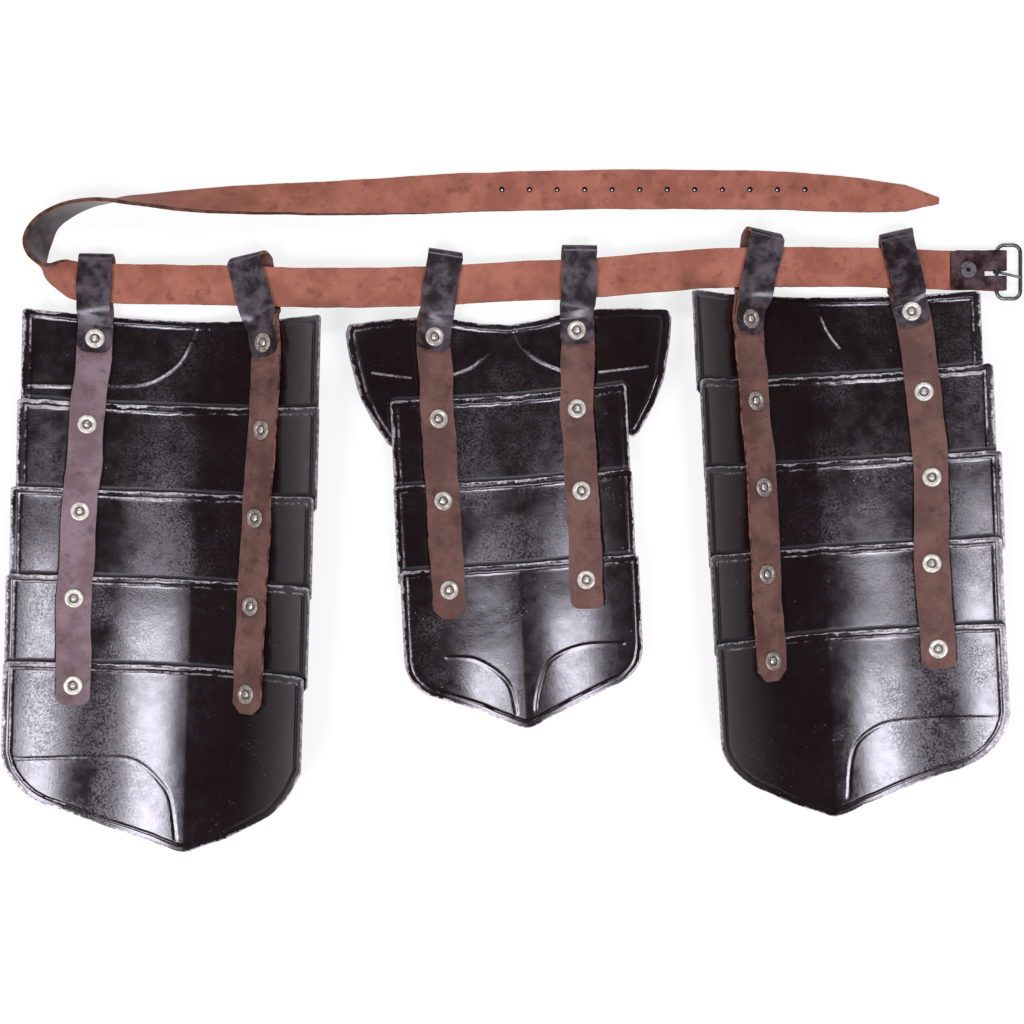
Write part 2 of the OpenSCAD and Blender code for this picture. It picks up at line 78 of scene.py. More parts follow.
# A little more than a tasset slides along the belt, for the room that its loops need
SLIDE_REACH = 19.0
# How far a strap runs on past its last rivet, and its tab past the first
STRAP_END = 15.5
TAB_END = 11.0

TASSETS = (
    SimpleNamespace(
        name="left", ridge=(-248.0, 151.5), turn=-2.2, flip=1, roll=7.7, flanks=(-8.0, -24.0),
        lames=5, first=68.0, pitch=69.0, last=149.0, outer=134.0, inner=108.0,
        outer_extra=(-1.5, -0.5, 1.5, 2.5, 2), inner_extra=(-1, 1, -1, -1.5, -4),
        top_corners=(3, 3), fill=-2, cut=18,
        straps=("outer", "inner"),
        strap_x=((-84.6, -88, -90.8, -92.8, -91), (61, 60.5, 57.5, 56.5, 55.5)),
        lift=(0, 0, 0, 0, 0), strap_lean=(2, -17), end_extra=0, loop_extra=(-2, 0), rise=3,
        front_lean=(1.5, -18.5), back_lean=(1.5, -10), twist=(0, -12), chamfered=(False, True),
        tarnish=(0.05, 0.9),
    ),
    SimpleNamespace(
        name="middle", ridge=(-5.0, 149.3), turn=2.7, flip=1, roll=0.0, flanks=(8.0, -8.0),
        lames=4, first=57.0, pitch=67.0, last=133.0, outer=92.0, inner=92.0,
        outer_extra=(0, 3, 3.5, 1.5), inner_extra=(0, -2, -1, 1),
        straps=("left", "right"),
        strap_x=((-62, -61, -60.5, -59), (57, 53.5, 54, 54.5)),
        lift=(9, 3, 5, 1.5), strap_lean=(10, 0), end_extra=7.5, loop_extra=(2.5, 1), rise=8,
        front_lean=(10, 1.5), back_lean=(8, 0), twist=(8, 0), chamfered=(True, False),
        tarnish=(0.45, 0.3),
    ),
    SimpleNamespace(
        name="right", ridge=(231.6, 171.2), turn=3.5, flip=-1, roll=7.7, flanks=(-8.0, -24.0),
        lames=5, first=64.0, pitch=68.0, last=148.0, outer=134.0, inner=100.0,
        outer_extra=(-5, 0, 2, -1, -2), inner_extra=(2, 0, 0.5, 0.5, 0),
        top_corners=(-5.5, 5), fill=4, cut=22,
        straps=("outer", "inner"),
        strap_x=((-83, -88.5, -90.5, -86.5, -87.5), (56, 54, 51.5, 53.5, 53)),
        lift=(0, 0, 0, 0, 0), strap_lean=(13.5, -17), end_extra=0.5, loop_extra=(2.5, 3), rise=3,
        front_lean=(-13.5, 15.5), back_lean=(-13, 10), twist=(-3, 12), chamfered=(False, True),
        tarnish=(0.1, 0.95),
    ),
)

# Raised lines chased into the first and last lames: x and y from the ridge's top, and how bare each point is
LINES = {
    ("left", 0): (
        ((-128, -57, 0.9), (-90, -55, 0.55), (-49, -52, 0.6), (-30, -44, 1.1), (-15, -30, 1.0),
         (-5, -6.5, 0.2)),
        ((5, -6.5, 0.1), (14, -29, 0.15), (29, -43, 0.1), (49, -52, 0.1), (75, -55, 0.1), (102, -57, 0.2)),
    ),
    ("left", 4): (
        ((-128, -351, 0.3), (-90, -350.5, 0.7), (-53, -350, 0.2), (-36, -355, 0), (-21, -368, 0),
         (-12, -382, 0.1), (-6.5, -413, 0.5)),
    ),
    ("right", 0): (
        ((-9, -9, 0.1), (-15, -27, 1.0), (-25, -42, 1.1)),
        ((11, -15, 0.1), (19, -31, 0.15), (30, -43, 0.1)),
    ),
    ("right", 4): (
        ((-124, -342, 0.5), (-90, -341, 0.5), (-54, -342, 0.1), (-36, -346, 0), (-20.5, -357, 0),
         (-14, -373, 0.2), (-10.5, -400, 0.6)),
    ),
    ("middle", 0): (
        ((-108, -36, 0.9), (-94, -38, 1.0), (-79, -40, 0.9)),
        ((-46, -38, 1.1), (-30, -32, 0.7), (-17, -21, 0.3)),
        ((4.6, -3.4, 0.4), (10, -17, 0.4), (22, -29, 0.7), (40, -38, 1.1)),
        ((70, -42, 1.0), (88, -41.5, 0.9), (107, -41, 0.8)),
    ),
    ("middle", 3): (
        ((-61, -262, 0.3), (-37, -266, 0.1), (-14, -285, 0.3), (-8, -310, 0.2)),
        ((79, -257, 0.3), (47, -258, 0.3), (21, -269, 0.1), (11, -290, 0.3), (7.5, -308, 0.2)),
    ),
}


def all_lames():
    return [(t, k) for t in TASSETS for k in range(t.lames)]


def lame_top(t, k):
    return 0.0 if k == 0 else -t.first - (k - 1) * t.pitch


def is_last(t, k):
    return k == t.lames - 1


def lame_len(t, k):
    if is_last(t, k):
        return t.last
    under = min(OVERLAP, RIVET_DROP - t.lift[k + 1] - HEAD_D / 2 - EDGE_PLAY)
    return (t.first if k == 0 else t.pitch) + under


def top_rise(t, k):
    return t.rise if k == 0 else 0.0


def nest_drop(t, thick):
    return (thick + PLATE_GAP) * (t.pitch + OVERLAP) / t.pitch


def flank_centre(t, x):
    """Centre of the flank's circle under each x: (x, height)."""
    cx = np.where(np.asarray(x) < 0, t.flanks[0], t.flanks[1])
    return cx, np.sqrt(FLANK_R ** 2 - cx ** 2)


def rest_height(t):
    if t.roll == 0:
        return 0.0
    cx, cz = t.flanks[0], math.sqrt(FLANK_R ** 2 - t.flanks[0] ** 2)
    r = math.radians(t.roll)
    return FLANK_R - cz * math.cos(r) - cx * math.sin(r)


def way(t, v):
    """Direction v of a tasset's own frame in the frame of the whole piece."""
    v = np.asarray(v, float)
    r, a = math.radians(t.roll), math.radians(t.turn)
    x = v[..., 0] * math.cos(r) - v[..., 2] * math.sin(r)
    z = v[..., 0] * math.sin(r) + v[..., 2] * math.cos(r)
    y = v[..., 1]
    return np.stack([
        t.flip * x * math.cos(a) - y * math.sin(a),
        t.flip * x * math.sin(a) + y * math.cos(a),
        z,
    ], axis=-1)


def place(t, v):
    return way(t, v) + np.array([t.ridge[0], t.ridge[1], rest_height(t)])


def plate_radius(t, k, y, thick):
    """Distance of a lame's inner face from the axis of its flank at height y."""
    rise = top_rise(t, k)
    drop = nest_drop(t, thick)
    slope = drop / (lame_len(t, k) + rise)
    return FLANK_R - drop + slope * (rise - (y - lame_top(t, k))) - thick


def tilted(points):
    """Edge of a middle lame, which slants a little from side to side."""
    return [(x, y + MIDDLE_TILT * x) for x, y in points]


def chains(t, k):
    """Top edge and lower edge of a lame, each from -x to +x, from the lame's own top."""
    e = lame_len(t, k)
    if t.name == "middle":
        w = WING_HALF
        right, left = t.inner + t.inner_extra[k], t.outer + t.outer_extra[k]
        if k == 0:
            top = [(-w - 2, -6), (-w, 1), (-98, 5.5), (-71, 7.5), (-42, 5.4), (-22, 2), (0, 0),
                   (22, 2), (42, 5.4), (71, 7.5), (98, 5.5), (w, 1), (w + 2, -6)]
            wing = [(w + 2, -6), (w + 1, -20), (w - 5, -52), (w - 13, -71), (w - 25, -92),
                    (w - 29, -95), (w - 34, -92)]
            low = tilted(((-71, 2 - e), (-66, -e), (66, -e), (71, 2 - e)))
            return top, [(-x, y) for x, y in wing] + low + wing[::-1]
        top = [(-left, -0.5), (2 - left, 1.5), (0, 0), (right - 2, 1.5), (right, -0.5)]
        if is_last(t, k):
            low = [(-left, 64 - e), (2 - left, 52 - e), (8 - left, 41 - e), (17 - left, 34.5 - e),
                   (-44, 22 - e), (0, -e), (44, 20.5 - e), (right - 15, 35 - e), (right - 7, 41 - e),
                   (right - 2, 50 - e), (right, 62 - e)]
        else:
            low = [(-left, 3 - e), (3 - left, -e), (right - 3, -e), (right, 3 - e)]
        return tilted(top), tilted(low)
    o, n = t.outer + t.outer_extra[k], t.inner + t.inner_extra[k]
    a, b = t.top_corners if k == 0 else (0.5, 0.5)
    mid = -0.5 if k == 0 else 0.0
    top = [(-o, a - 2), (2 - o, a), (-o / 2, (a + mid) / 2 - 0.5), (0, mid),
           (n / 2, (mid + b) / 2 - 0.5), (n - 2, b), (n, b - 2)]
    if is_last(t, k):
        f = t.fill
        low = [(-o, 78 - e), (3 - o, 64 - e), (11 - o, 50 - e), (25 - o, 38 - e), (-60, t.cut - e), (0, -e),
               (36, 15 - e), (n + f - 27, 37 - e), (n + f - 9, 55 - e), (min(n + f - 3, n - 0.5), 67 - e),
               (n, 76 - e)]
    else:
        low = [(-o, 3 - e), (3 - o, -e), (n - 3, -e), (n, 3 - e)]
    return top, low


def rivet_y(t, s, k):
    tilt = MIDDLE_TILT * t.strap_x[s][k] if t.name == "middle" and k > 0 else 0.0
    return lame_top(t, k) - RIVET_DROP + t.lift[k] + tilt


def strap_x_at(t, s, y):
    heights = [rivet_y(t, s, k) for k in range(t.lames)]
    return np.interp(y, heights[::-1], list(t.strap_x[s])[::-1])


def flank_point(t, x, y, r):
    cx, cz = flank_centre(t, x)
    lean = np.arcsin((x - cx) / FLANK_R)
    return np.stack([cx + r * np.sin(lean), np.asarray(y, float) + 0 * lean, cz - r * np.cos(lean)], axis=-1)


def smooth(u):
    c = np.clip(u, 0, 1)
    return c * c * (3 - 2 * c)


def quarter_round(share):
    """Height of a quarter circle, from 0 at its start to 1 from share 1 on."""
    return math.sqrt(1 - (1 - min(share, 1)) ** 2)


def curve(points, share):
    """Smooth curve through points, at a share of its length in stations."""
    p = np.asarray(points, float)
    n = len(p) - 1
    i = int(min(max(math.floor(share), 0), n - 1))
    u = share - i
    a, b, c, d = p[max(i - 1, 0)], p[i], p[min(i + 1, n)], p[min(i + 2, n)]
    return (2 * b + (c - a) * u + (2 * a - 5 * b + 4 * c - d) * u * u + (3 * b - a - 3 * c + d) * u ** 3) / 2


def unit(v):
    v = np.asarray(v, float)
    return v / np.linalg.norm(v, axis=-1, keepdims=True)


def waves(x, y, length, seed, count=9):
    """Soft uneven surface between about -1 and 1, with bumps about that long."""
    rng = np.random.RandomState(seed)
    total = np.zeros(np.broadcast(x, y).shape)
    for angle, stretch, phase in zip(rng.uniform(0, math.pi, count), rng.uniform(0.6, 1.7, count),
                                     rng.uniform(0, 2 * math.pi, count)):
        total += np.sin((x * math.cos(angle) + y * math.sin(angle)) * 2 * math.pi * stretch / length + phase)
    return total / math.sqrt(count * 2)


# Mesh helpers

def clear_selection():
    if bpy.context.object and bpy.context.object.mode != "OBJECT":
        bpy.ops.object.mode_set(mode="OBJECT")
    bpy.ops.object.select_all(action="DESELECT")


def make_active(obj):
    clear_selection()
    obj.select_set(True)
    bpy.context.view_layer.objects.active = obj


def grid_piece(name, places):
    """A grid whose vertices are put at places[row, column] in metres; its faces look along column x row."""
    rows, columns = places.shape[:2]
    clear_selection()
    bpy.ops.mesh.primitive_grid_add(x_subdivisions=columns - 1, y_subdivisions=rows - 1, size=1)
    obj = bpy.context.object
    obj.name = name
    obj.data.name = name
    co = np.empty(len(obj.data.vertices) * 3)
    obj.data.vertices.foreach_get("co", co)
    co = co.reshape(-1, 3)
    column = np.rint((co[:, 0] + 0.5) * (columns - 1)).astype(int)
    row = np.rint((co[:, 1] + 0.5) * (rows - 1)).astype(int)
    obj.data.vertices.foreach_set("co", places[row, column].astype(np.float32).ravel())
    obj.data.update()
    return obj, row, column


def point_value(obj, name, values):
    layer = obj.data.attributes.new(name, "FLOAT", "POINT")
    layer.data.foreach_set("value", np.asarray(values, np.float32))


def apply_modifier(obj, kind, **settings):
    make_active(obj)
    bpy.ops.object.modifier_add(type=kind)
    modifier = obj.modifiers[-1]
    for key, value in settings.items():
        setattr(modifier, key, value)
    bpy.ops.object.modifier_apply(modifier=modifier.name)


def thicken(obj, thickness, **sides):
    """Gives a sheet its thickness, away from the side that its faces look to."""
    apply_modifier(obj, "SOLIDIFY", thickness=thickness, offset=-1.0, use_even_offset=True, **sides)


def thicken_leather(obj, thickness):
    thicken(obj, thickness, material_offset=1, material_offset_rim=2)


def joined(objects):
    clear_selection()
    for obj in objects:
        obj.select_set(True)
    bpy.context.view_layer.objects.active = objects[0]
    bpy.ops.object.join()
    return bpy.context.object


def delete(obj):
    make_active(obj)
    bpy.ops.object.delete()


def smooth_shading(obj, degrees=40):
    make_active(obj)
    bpy.ops.object.shade_smooth_by_angle(angle=math.radians(degrees), keep_sharp_edges=True)


def use_materials(obj, *materials):
    obj.data.materials.clear()
    for material in materials:
        obj.data.materials.append(material)


def finish_piece(piece, body, node):
    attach(piece, body)
    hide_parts(node)


def distance_to(points, line):
    """Distance of each point to a line of straight stretches, and the third number of the line there."""
    best, value = np.full(len(points), 1e9), np.zeros(len(points))
    for a, b in zip(line[:-1], line[1:]):
        a, b = np.asarray(a, float), np.asarray(b, float)
        ab = b[:2] - a[:2]
        share = np.clip(((points - a[:2]) @ ab) / max(ab @ ab, 1e-9), 0, 1)
        away = np.linalg.norm(points - a[:2] - share[:, None] * ab, axis=1)
        if len(a) > 2:
            value = np.where(away < best, a[2] + (b[2] - a[2]) * share, value)
        best = np.minimum(best, away)
    return best, value


# Materials

def rgb(code):
    """Linear colour of an RRGGBB code as the eye reads it on a screen."""
    values = [int(code[i:i + 2], 16) / 255 for i in (0, 2, 4)]
    return tuple(v / 12.92 if v <= 0.04045 else ((v + 0.055) / 1.055) ** 2.4 for v in values) + (1.0,)


class Nodes:
    """Short ways to add and join the shader nodes of a material or a world."""

    def __init__(self, owner, output="ShaderNodeOutputMaterial"):
        owner.use_nodes = True
        self.owner = owner
        self.tree = owner.node_tree
        self.tree.nodes.clear()
        self.surface = self.add(output).inputs["Surface"]

    def add(self, kind, **settings):
        node = self.tree.nodes.new(kind)
        for key, value in settings.items():
            setattr(node, key, value)
        return node

    def join(self, a, b):
        self.tree.links.new(a, b)

    def put(self, socket, value):
        """Joins an output to a socket, or sets a number or a colour, which may be an RRGGBB code."""
        if hasattr(value, "is_output"):
            self.join(value, socket)
        else:
            socket.default_value = rgb(value) if isinstance(value, str) else value

    def filled(self, kind, **inputs):
        """Output of a new node whose named sockets are filled."""
        node = self.add(kind)
        for key, value in inputs.items():
            self.put(node.inputs[key.replace("_", " ")], value)
        return node.outputs[0]

    def of(self, kind, *inputs, **settings):
        """Output of a new node whose first sockets are filled in order."""
        node = self.add(kind, **settings)
        for socket, value in zip(node.inputs, inputs):
            self.put(socket, value)
        return node.outputs[0]

    def place(self, stretch=(1, 1, 1)):
        where = self.add("ShaderNodeTexCoord").outputs["Object"]
        return self.filled("ShaderNodeMapping", Scale=stretch, Vector=where)

    def noise(self, size_mm, detail, rough, stretch=(1, 1, 1)):
        """Noise from 0 to 1 whose features are about that many millimetres wide."""
        return self.filled("ShaderNodeTexNoise", Scale=1000.0 / size_mm, Detail=detail, Roughness=rough,
                           Vector=self.place(stretch))

    def cells(self, size_mm):
        """Distance to the middle of the nearest rounded cell, of cells about that many millimetres wide."""
        node = self.add("ShaderNodeTexVoronoi", feature="SMOOTH_F1")
        node.inputs["Scale"].default_value = 1000.0 / size_mm
        self.join(self.place(), node.inputs["Vector"])
        return node.outputs["Distance"]

    def math(self, operation, a, b=0.0, clamp=False):
        return self.of("ShaderNodeMath", a, b, operation=operation, use_clamp=clamp)

    def plus(self, a, b, clamp=False):
        return self.math("ADD", a, b, clamp)

    def times(self, a, b):
        return self.math("MULTIPLY", a, b)

    def ramp(self, value, low, high, to_low=0.0, to_high=1.0, kind="SMOOTHSTEP"):
        return self.of("ShaderNodeMapRange", value, low, high, to_low, to_high, interpolation_type=kind)

    def mix(self, share, a, b):
        node = self.add("ShaderNodeMix", data_type="RGBA")
        for key, value in (("Factor", share), (6, a), (7, b)):
            self.put(node.inputs[key], value)
        return node.outputs[2]

    def attribute(self, name):
        return self.add("ShaderNodeAttribute", attribute_name=name).outputs["Fac"]

    def bump(self, height, distance_mm, strength):
        return self.filled("ShaderNodeBump", Strength=strength, Distance=distance_mm * MM, Height=height)

    def finish(self, **inputs):
        self.join(self.filled("ShaderNodeBsdfPrincipled", **inputs), self.surface)
        return self.owner


def material_nodes(name):
    return Nodes(bpy.data.materials.get(name) or bpy.data.materials.new(name))


def blackened_steel():
    """Black painted sheet, glossy where it is whole, worn bright at its edges and lines, and painted black as
    shade just above the next lame.
    """
    n = material_nodes("blackened_steel")
    plates = bpy.context.scene.armour_plates
    paint, sheen = tuple(plates.paint) + (1.0,), tuple(plates.bare) + (1.0,)
    rim, line, wear = n.attribute("rim_mm"), n.attribute("line_mm"), n.attribute("wear")
    patches = n.noise(19, 4, 0.62)
    fine = n.noise(2.4, 4, 0.72)
    broad = n.noise(60, 3, 0.5)
    ragged = n.plus(n.times(patches, 0.62), n.times(fine, 0.38))

    reach = n.times(n.ramp(ragged, 0.38, 0.66, 0.35, 2.9), wear)
    edge = n.ramp(n.math("SUBTRACT", reach, rim), -0.1, 0.7)
    on_border = n.ramp(n.math("ABSOLUTE", n.math("SUBTRACT", rim, plates.border / MM)), 0.3, 0.9, 1.0, 0.0)
    border = n.times(on_border, n.ramp(n.times(ragged, wear), 0.47, 0.60))
    on_line = n.ramp(line, 0.5, 1.2, 1.0, 0.0)
    chased = n.times(on_line, n.ramp(n.times(n.attribute("line_wear"), ragged), 0.22, 0.46))
    flecks = n.ramp(n.noise(1.6, 2, 0.5), 0.67, 0.75, 0.0, 0.7)
    flecks = n.times(flecks, n.ramp(n.noise(22, 3, 0.6), 0.52, 0.66))
    flecks = n.times(flecks, n.attribute("speckle"))
    bare = n.math("MAXIMUM", n.math("MAXIMUM", edge, border), n.math("MAXIMUM", chased, flecks), clamp=True)

    grain = n.ramp(n.noise(1.7, 4, 0.72), 0.40, 0.62)
    haze = n.times(grain, n.times(n.ramp(broad, 0.36, 0.58), n.attribute("haze")))
    # Painted shade: black and rough just above where the next lame's top edge lies over this one, for the
    # shadow of the overlap
    painted_overlap_shade = n.ramp(n.attribute("tuck_mm"), 1.2, 4.2, 1.0, 0.0)
    dusty = n.mix(n.times(haze, 0.6), paint, "43393f")
    steel = n.mix(n.ramp(n.noise(3.1, 4, 0.7), 0.40, 0.62), sheen, "857c86")
    colour = n.mix(bare, n.mix(painted_overlap_shade, dusty, "080607"), steel)
    gloss = n.ramp(n.noise(11, 4, 0.6), 0.3, 0.7, 0.12, 0.20)
    gloss = n.plus(gloss, n.times(haze, 0.27))
    gloss = n.plus(gloss, n.times(painted_overlap_shade, 0.6))
    rough = n.plus(gloss, n.times(bare, 0.28), clamp=True)
    height = n.math("SUBTRACT", n.times(grain, 0.25), n.times(bare, 0.8))
    return n.finish(
        Base_Color=colour, Metallic=n.times(bare, 0.55), Roughness=rough,
        Specular_IOR_Level=1.0, Specular_Tint=(0.92, 0.89, 1.0, 1.0), Normal=n.bump(height, 0.08, 0.6),
    )


def flesh_leather(name, deep, mid, pale):
    """Napped inner side of the leather, mottled and a little stained."""
    n = material_nodes(name)
    blotch = n.noise(30, 4, 0.62)
    stain = n.noise(11, 4, 0.6)
    nap = n.noise(1.3, 4, 0.7)
    colour = n.mix(n.ramp(blotch, 0.36, 0.66), mid, pale)
    colour = n.mix(n.ramp(stain, 0.46, 0.28, 0.0, 0.55), colour, deep)
    colour = n.mix(n.ramp(nap, 0.48, 0.28, 0.0, 0.55), colour, deep)
    colour = n.mix(n.ramp(nap, 0.56, 0.78, 0.0, 0.45), colour, pale)
    relief = n.plus(n.times(nap, 0.7), n.times(stain, 0.9))
    return n.finish(
        Base_Color=colour, Roughness=n.ramp(blotch, 0.3, 0.7, 0.58, 0.80), Specular_IOR_Level=0.35,
        Normal=n.bump(relief, 0.4, 0.8),
    )


def grain_leather(name, base, worn, shine=0.85):
    """Dyed outer side of the leather: pebbled, rubbed and faintly shiny, with light patches that are rubbed
    wear and partly painted sheen, and creases darkened as painted shade.
    """
    n = material_nodes(name)
    pebble = n.cells(1.4)
    rub = n.noise(15, 5, 0.66)
    crease = n.noise(6, 3, 0.7, stretch=(0.5, 1.6, 1))
    scuff = n.noise(2.2, 4, 0.75, stretch=(1.0, 0.35, 1))
    # Lighter patches in the worn colour: rubbed wear, kept light also as painted sheen
    colour = n.mix(n.ramp(rub, 0.40, 0.64, 0.0, 0.8), base, worn)
    # Painted shade: the low parts of the crease relief are darkened almost to black
    colour = n.mix(n.ramp(crease, 0.42, 0.26, 0.0, 0.5), colour, "0f090a")
    colour = n.mix(n.ramp(scuff, 0.60, 0.74, 0.0, 0.5), colour, worn)
    relief = n.plus(n.times(pebble, 0.6), n.times(crease, 1.1))
    return n.finish(
        Base_Color=colour, Roughness=n.ramp(rub, 0.3, 0.7, 0.26, 0.42), Specular_IOR_Level=shine,
        Specular_Tint=(0.90, 0.88, 1.0, 1.0), Normal=n.bump(relief, 0.16, 0.5),
    )


def edge_leather(name, pale, deep):
    n = material_nodes(name)
    layers = n.noise(1.2, 4, 0.7, stretch=(0.4, 0.4, 2.2))
    colour = n.mix(n.ramp(n.noise(7, 3, 0.6), 0.40, 0.62), pale, deep)
    colour = n.mix(n.ramp(layers, 0.55, 0.72, 0.0, 0.6), colour, deep)
    return n.finish(
        Base_Color=colour, Roughness=0.72, Specular_IOR_Level=0.3, Normal=n.bump(layers, 0.2, 0.6))


def bright_metal(name, clean, dull, low, high, metal, tarnish=None):
    """Turned or stamped metal with dull patches, fine scratches and, where it is marked so, tarnish."""
    n = material_nodes(name)
    patch = n.noise(4, 4, 0.65)
    scratch = n.noise(1.1, 3, 0.7, stretch=(1, 0.3, 1))
    colour = n.mix(n.ramp(patch, 0.42, 0.70), clean, dull)
    if tarnish:
        film = n.times(n.attribute("tarnish"), n.ramp(n.noise(3, 4, 0.7), 0.30, 0.62, 0.35, 0.9))
        colour = n.mix(film, colour, tarnish)
    rough = n.plus(n.ramp(patch, 0.3, 0.7, low, high), n.times(scratch, 0.08))
    return n.finish(Base_Color=colour, Metallic=metal, Roughness=rough, Normal=n.bump(scratch, 0.05, 0.5))


def floor_white():
    """White to the camera and in reflections, with a pale shadow of the object."""
    n = material_nodes("studio_floor")
    path = n.add("ShaderNodeLightPath").outputs
    seen = n.math("MAXIMUM", path["Is Camera Ray"], path["Is Glossy Ray"])
    seen = n.math("MAXIMUM", seen, path["Is Transmission Ray"])
    plain = n.filled("ShaderNodeBsdfDiffuse", Color=(0.8, 0.8, 0.8, 1))
    shade = n.filled("ShaderNodeBsdfDiffuse", Color=(0.3, 0.3, 0.3, 1))
    glow = n.filled("ShaderNodeEmission", Strength=0.78)
    white = n.of("ShaderNodeAddShader", shade, glow)
    n.join(n.of("ShaderNodeMixShader", seen, plain, white), n.surface)
    return n.owner


def room_light(world, level):
    """Soft light that is strongest at the horizon, behind a room that the camera sees as white."""
    n = Nodes(world, "ShaderNodeOutputWorld")
    height = n.add("ShaderNodeSeparateXYZ")
    n.join(n.add("ShaderNodeTexCoord").outputs["Generated"], height.inputs[0])
    strength = n.ramp(height.outputs["Z"], 0.0, HORIZON_TOP, level + HORIZON_LIGHT, level, "LINEAR")
    plain = n.filled("ShaderNodeBackground", Color=(1.0, 0.985, 0.98, 1), Strength=strength)
    white = n.filled("ShaderNodeBackground", Strength=1.0)
    seen = n.add("ShaderNodeLightPath").outputs["Is Camera Ray"]
    n.join(n.of("ShaderNodeMixShader", seen, plain, white), n.surface)


# Sizes and colours that a user may change

class ArmourPlateSettings(bpy.types.PropertyGroup):
    thickness: bpy.props.FloatProperty(
        name="Sheet Thickness", description="Thickness of the sheet steel", default=0.0012, unit="LENGTH")
    border: bpy.props.FloatProperty(
        name="Border Distance", description="Distance of the chased border from the edge of a lame",
        default=0.0052, unit="LENGTH")
    line_height: bpy.props.FloatProperty(
        name="Line Height", description="Height of the chased lines", default=0.0005, unit="LENGTH")
    dents: bpy.props.FloatProperty(
        name="Dents", description="Depth of the dents in the sheet", default=0.00020, unit="LENGTH")
    paint: bpy.props.FloatVectorProperty(
        name="Paint", description="Colour of the black paint", subtype="COLOR", size=3,
        default=(0.0105, 0.0052, 0.0062))
    bare: bpy.props.FloatVectorProperty(
        name="Bare Steel", description="Colour of the steel where the paint is worn off", subtype="COLOR",
        size=3, default=(0.62, 0.57, 0.60))


class ArmourStrapSettings(bpy.types.PropertyGroup):
    width: bpy.props.FloatProperty(
        name="Strap Width", description="Width of the hanging straps", default=0.027, unit="LENGTH")
    thickness: bpy.props.FloatProperty(
        name="Strap Thickness", description="Thickness of the hanging straps", default=0.0024, unit="LENGTH")
    ripple: bpy.props.FloatProperty(
        name="Ripple", description="How far a strap waves between two rivets", default=0.0005, unit="LENGTH")


class ArmourWaistSettings(bpy.types.PropertyGroup):
    width: bpy.props.FloatProperty(
        name="Belt Width", description="Width of the waist belt", default=0.031, unit="LENGTH")
    thickness: bpy.props.FloatProperty(
        name="Belt Thickness", description="Thickness of the belt leather", default=0.003, unit="LENGTH")
    hole: bpy.props.FloatProperty(
        name="Hole Diameter", description="Diameter of a prong hole", default=0.005, unit="LENGTH")


class ArmourStageSettings(bpy.types.PropertyGroup):
    softbox: bpy.props.FloatProperty(
        name="Softbox Power", description="Power of each soft lamp", default=23.0, unit="POWER")
    room: bpy.props.FloatProperty(
        name="Room Light", description="Light of the room overhead", default=0.03, min=0.0)


# Pieces

# The step of a lame's grid, plain and where lines are chased in it
GRID_STEP, LINED_STEP = 2.6, 1.25
# Places near an edge of a lame, where the rows and columns of its grid are close together
EDGE_ROWS = np.array([0, 0.6, 1.3, 2.1, 3.0, 3.8, 4.5, 5.2, 5.9, 6.6, 7.6])


def edge_offsets(length, step):
    """Places along a length: close together near both ends, and evenly spaced between."""
    count = max(int(round((length - 2 * EDGE_ROWS[-1]) / step)), 1)
    middle = np.linspace(EDGE_ROWS[-1], length - EDGE_ROWS[-1], count + 1)
    return np.concatenate([EDGE_ROWS[:-1], middle, length - EDGE_ROWS[:-1][::-1]])


def rounded(xs, points, reach):
    """Height of an edge at xs, with its corners rounded over reach."""
    px, py = np.array(points, float).T
    shifts = np.linspace(-reach, reach, 9)
    weights = 1.0 - np.abs(shifts) / (reach * 1.15)
    near = np.minimum(np.abs(xs - px[0]), np.abs(xs - px[-1]))
    scale = np.clip(near / reach, 0, 1)
    total = sum(w * np.interp(xs + d * scale, px, py) for w, d in zip(weights, shifts))
    return total / weights.sum()


# A distance in millimetres that stands for nothing near
FAR_OFF = 99.0
# How far the border and a chased line spread to each side
BORDER_SPREAD, LINE_SPREAD = 0.75, 0.8
# Length of a dent, and length and depth of the small hammer marks
DENT_LENGTH = 95
MARK_LENGTH, MARK_DEPTH = 15, 0.012
# How far a lame's rim turns down and the top edge of a lower lame stands up, and how far in each reaches
RIM_DROP, RIM_REACH = 0.12, 0.7
TOP_LIFT, TOP_REACH = 0.2, 5.0
# How far below the next lame's top edge a lame is flat again
COVERED = 3.0
# Where the paint of each lame has gone dull: strength, middle and half width in millimetres from the ridge
HAZE = ((0.45, -20, 48), (0.55, -20, 45), (1.0, -24, 38), (0.9, -64, 22), (0.9, -64, 22))


def lame_pattern(t, k, seed):
    """A lame's flat grid: its columns, its top edge, and each place's height and distance to the rim."""
    top_line, low_line = chains(t, k)
    x0, x1 = top_line[0][0], top_line[-1][0]
    step = LINED_STEP if (t.name, k) in LINES else GRID_STEP
    xs = edge_offsets(x1 - x0, step) + x0
    xs = np.sort(np.append(xs[np.abs(xs) > 0.7], 0.0))
    wobble = (0.45 if k else 0.25) * waves(xs, 0 * xs, 17, seed)
    top = rounded(xs, top_line, 1.5) + wobble * (xs - x0 > 2) * (x1 - xs > 2)
    low = rounded(xs, low_line, 9.0 if is_last(t, k) else 1.5) + 0.3 * waves(xs, 0 * xs, 23, seed + 1)
    tall = int(round(float(np.median(top - low)) / step))
    top = np.maximum(top, low + 1.5)
    last = EDGE_ROWS[-1]
    short = np.minimum(1.0, (top - low) / (3.2 * last))
    rows = [low + d * short for d in EDGE_ROWS[:-1]]
    middle = np.linspace(0, 1, max(tall - 8, 4) + 1)
    rows += [low + last * short + (top - low - 2 * last * short) * m for m in middle]
    rows += [top - d * short for d in EDGE_ROWS[:-1][::-1]]
    ys = np.array(rows)
    outline = list(zip(xs, low)) + list(zip(xs, top))[::-1]
    points = np.stack([np.broadcast_to(xs, ys.shape).ravel(), ys.ravel()], axis=1)
    return xs, top, ys, distance_to(points, outline + outline[:1])[0].reshape(ys.shape)


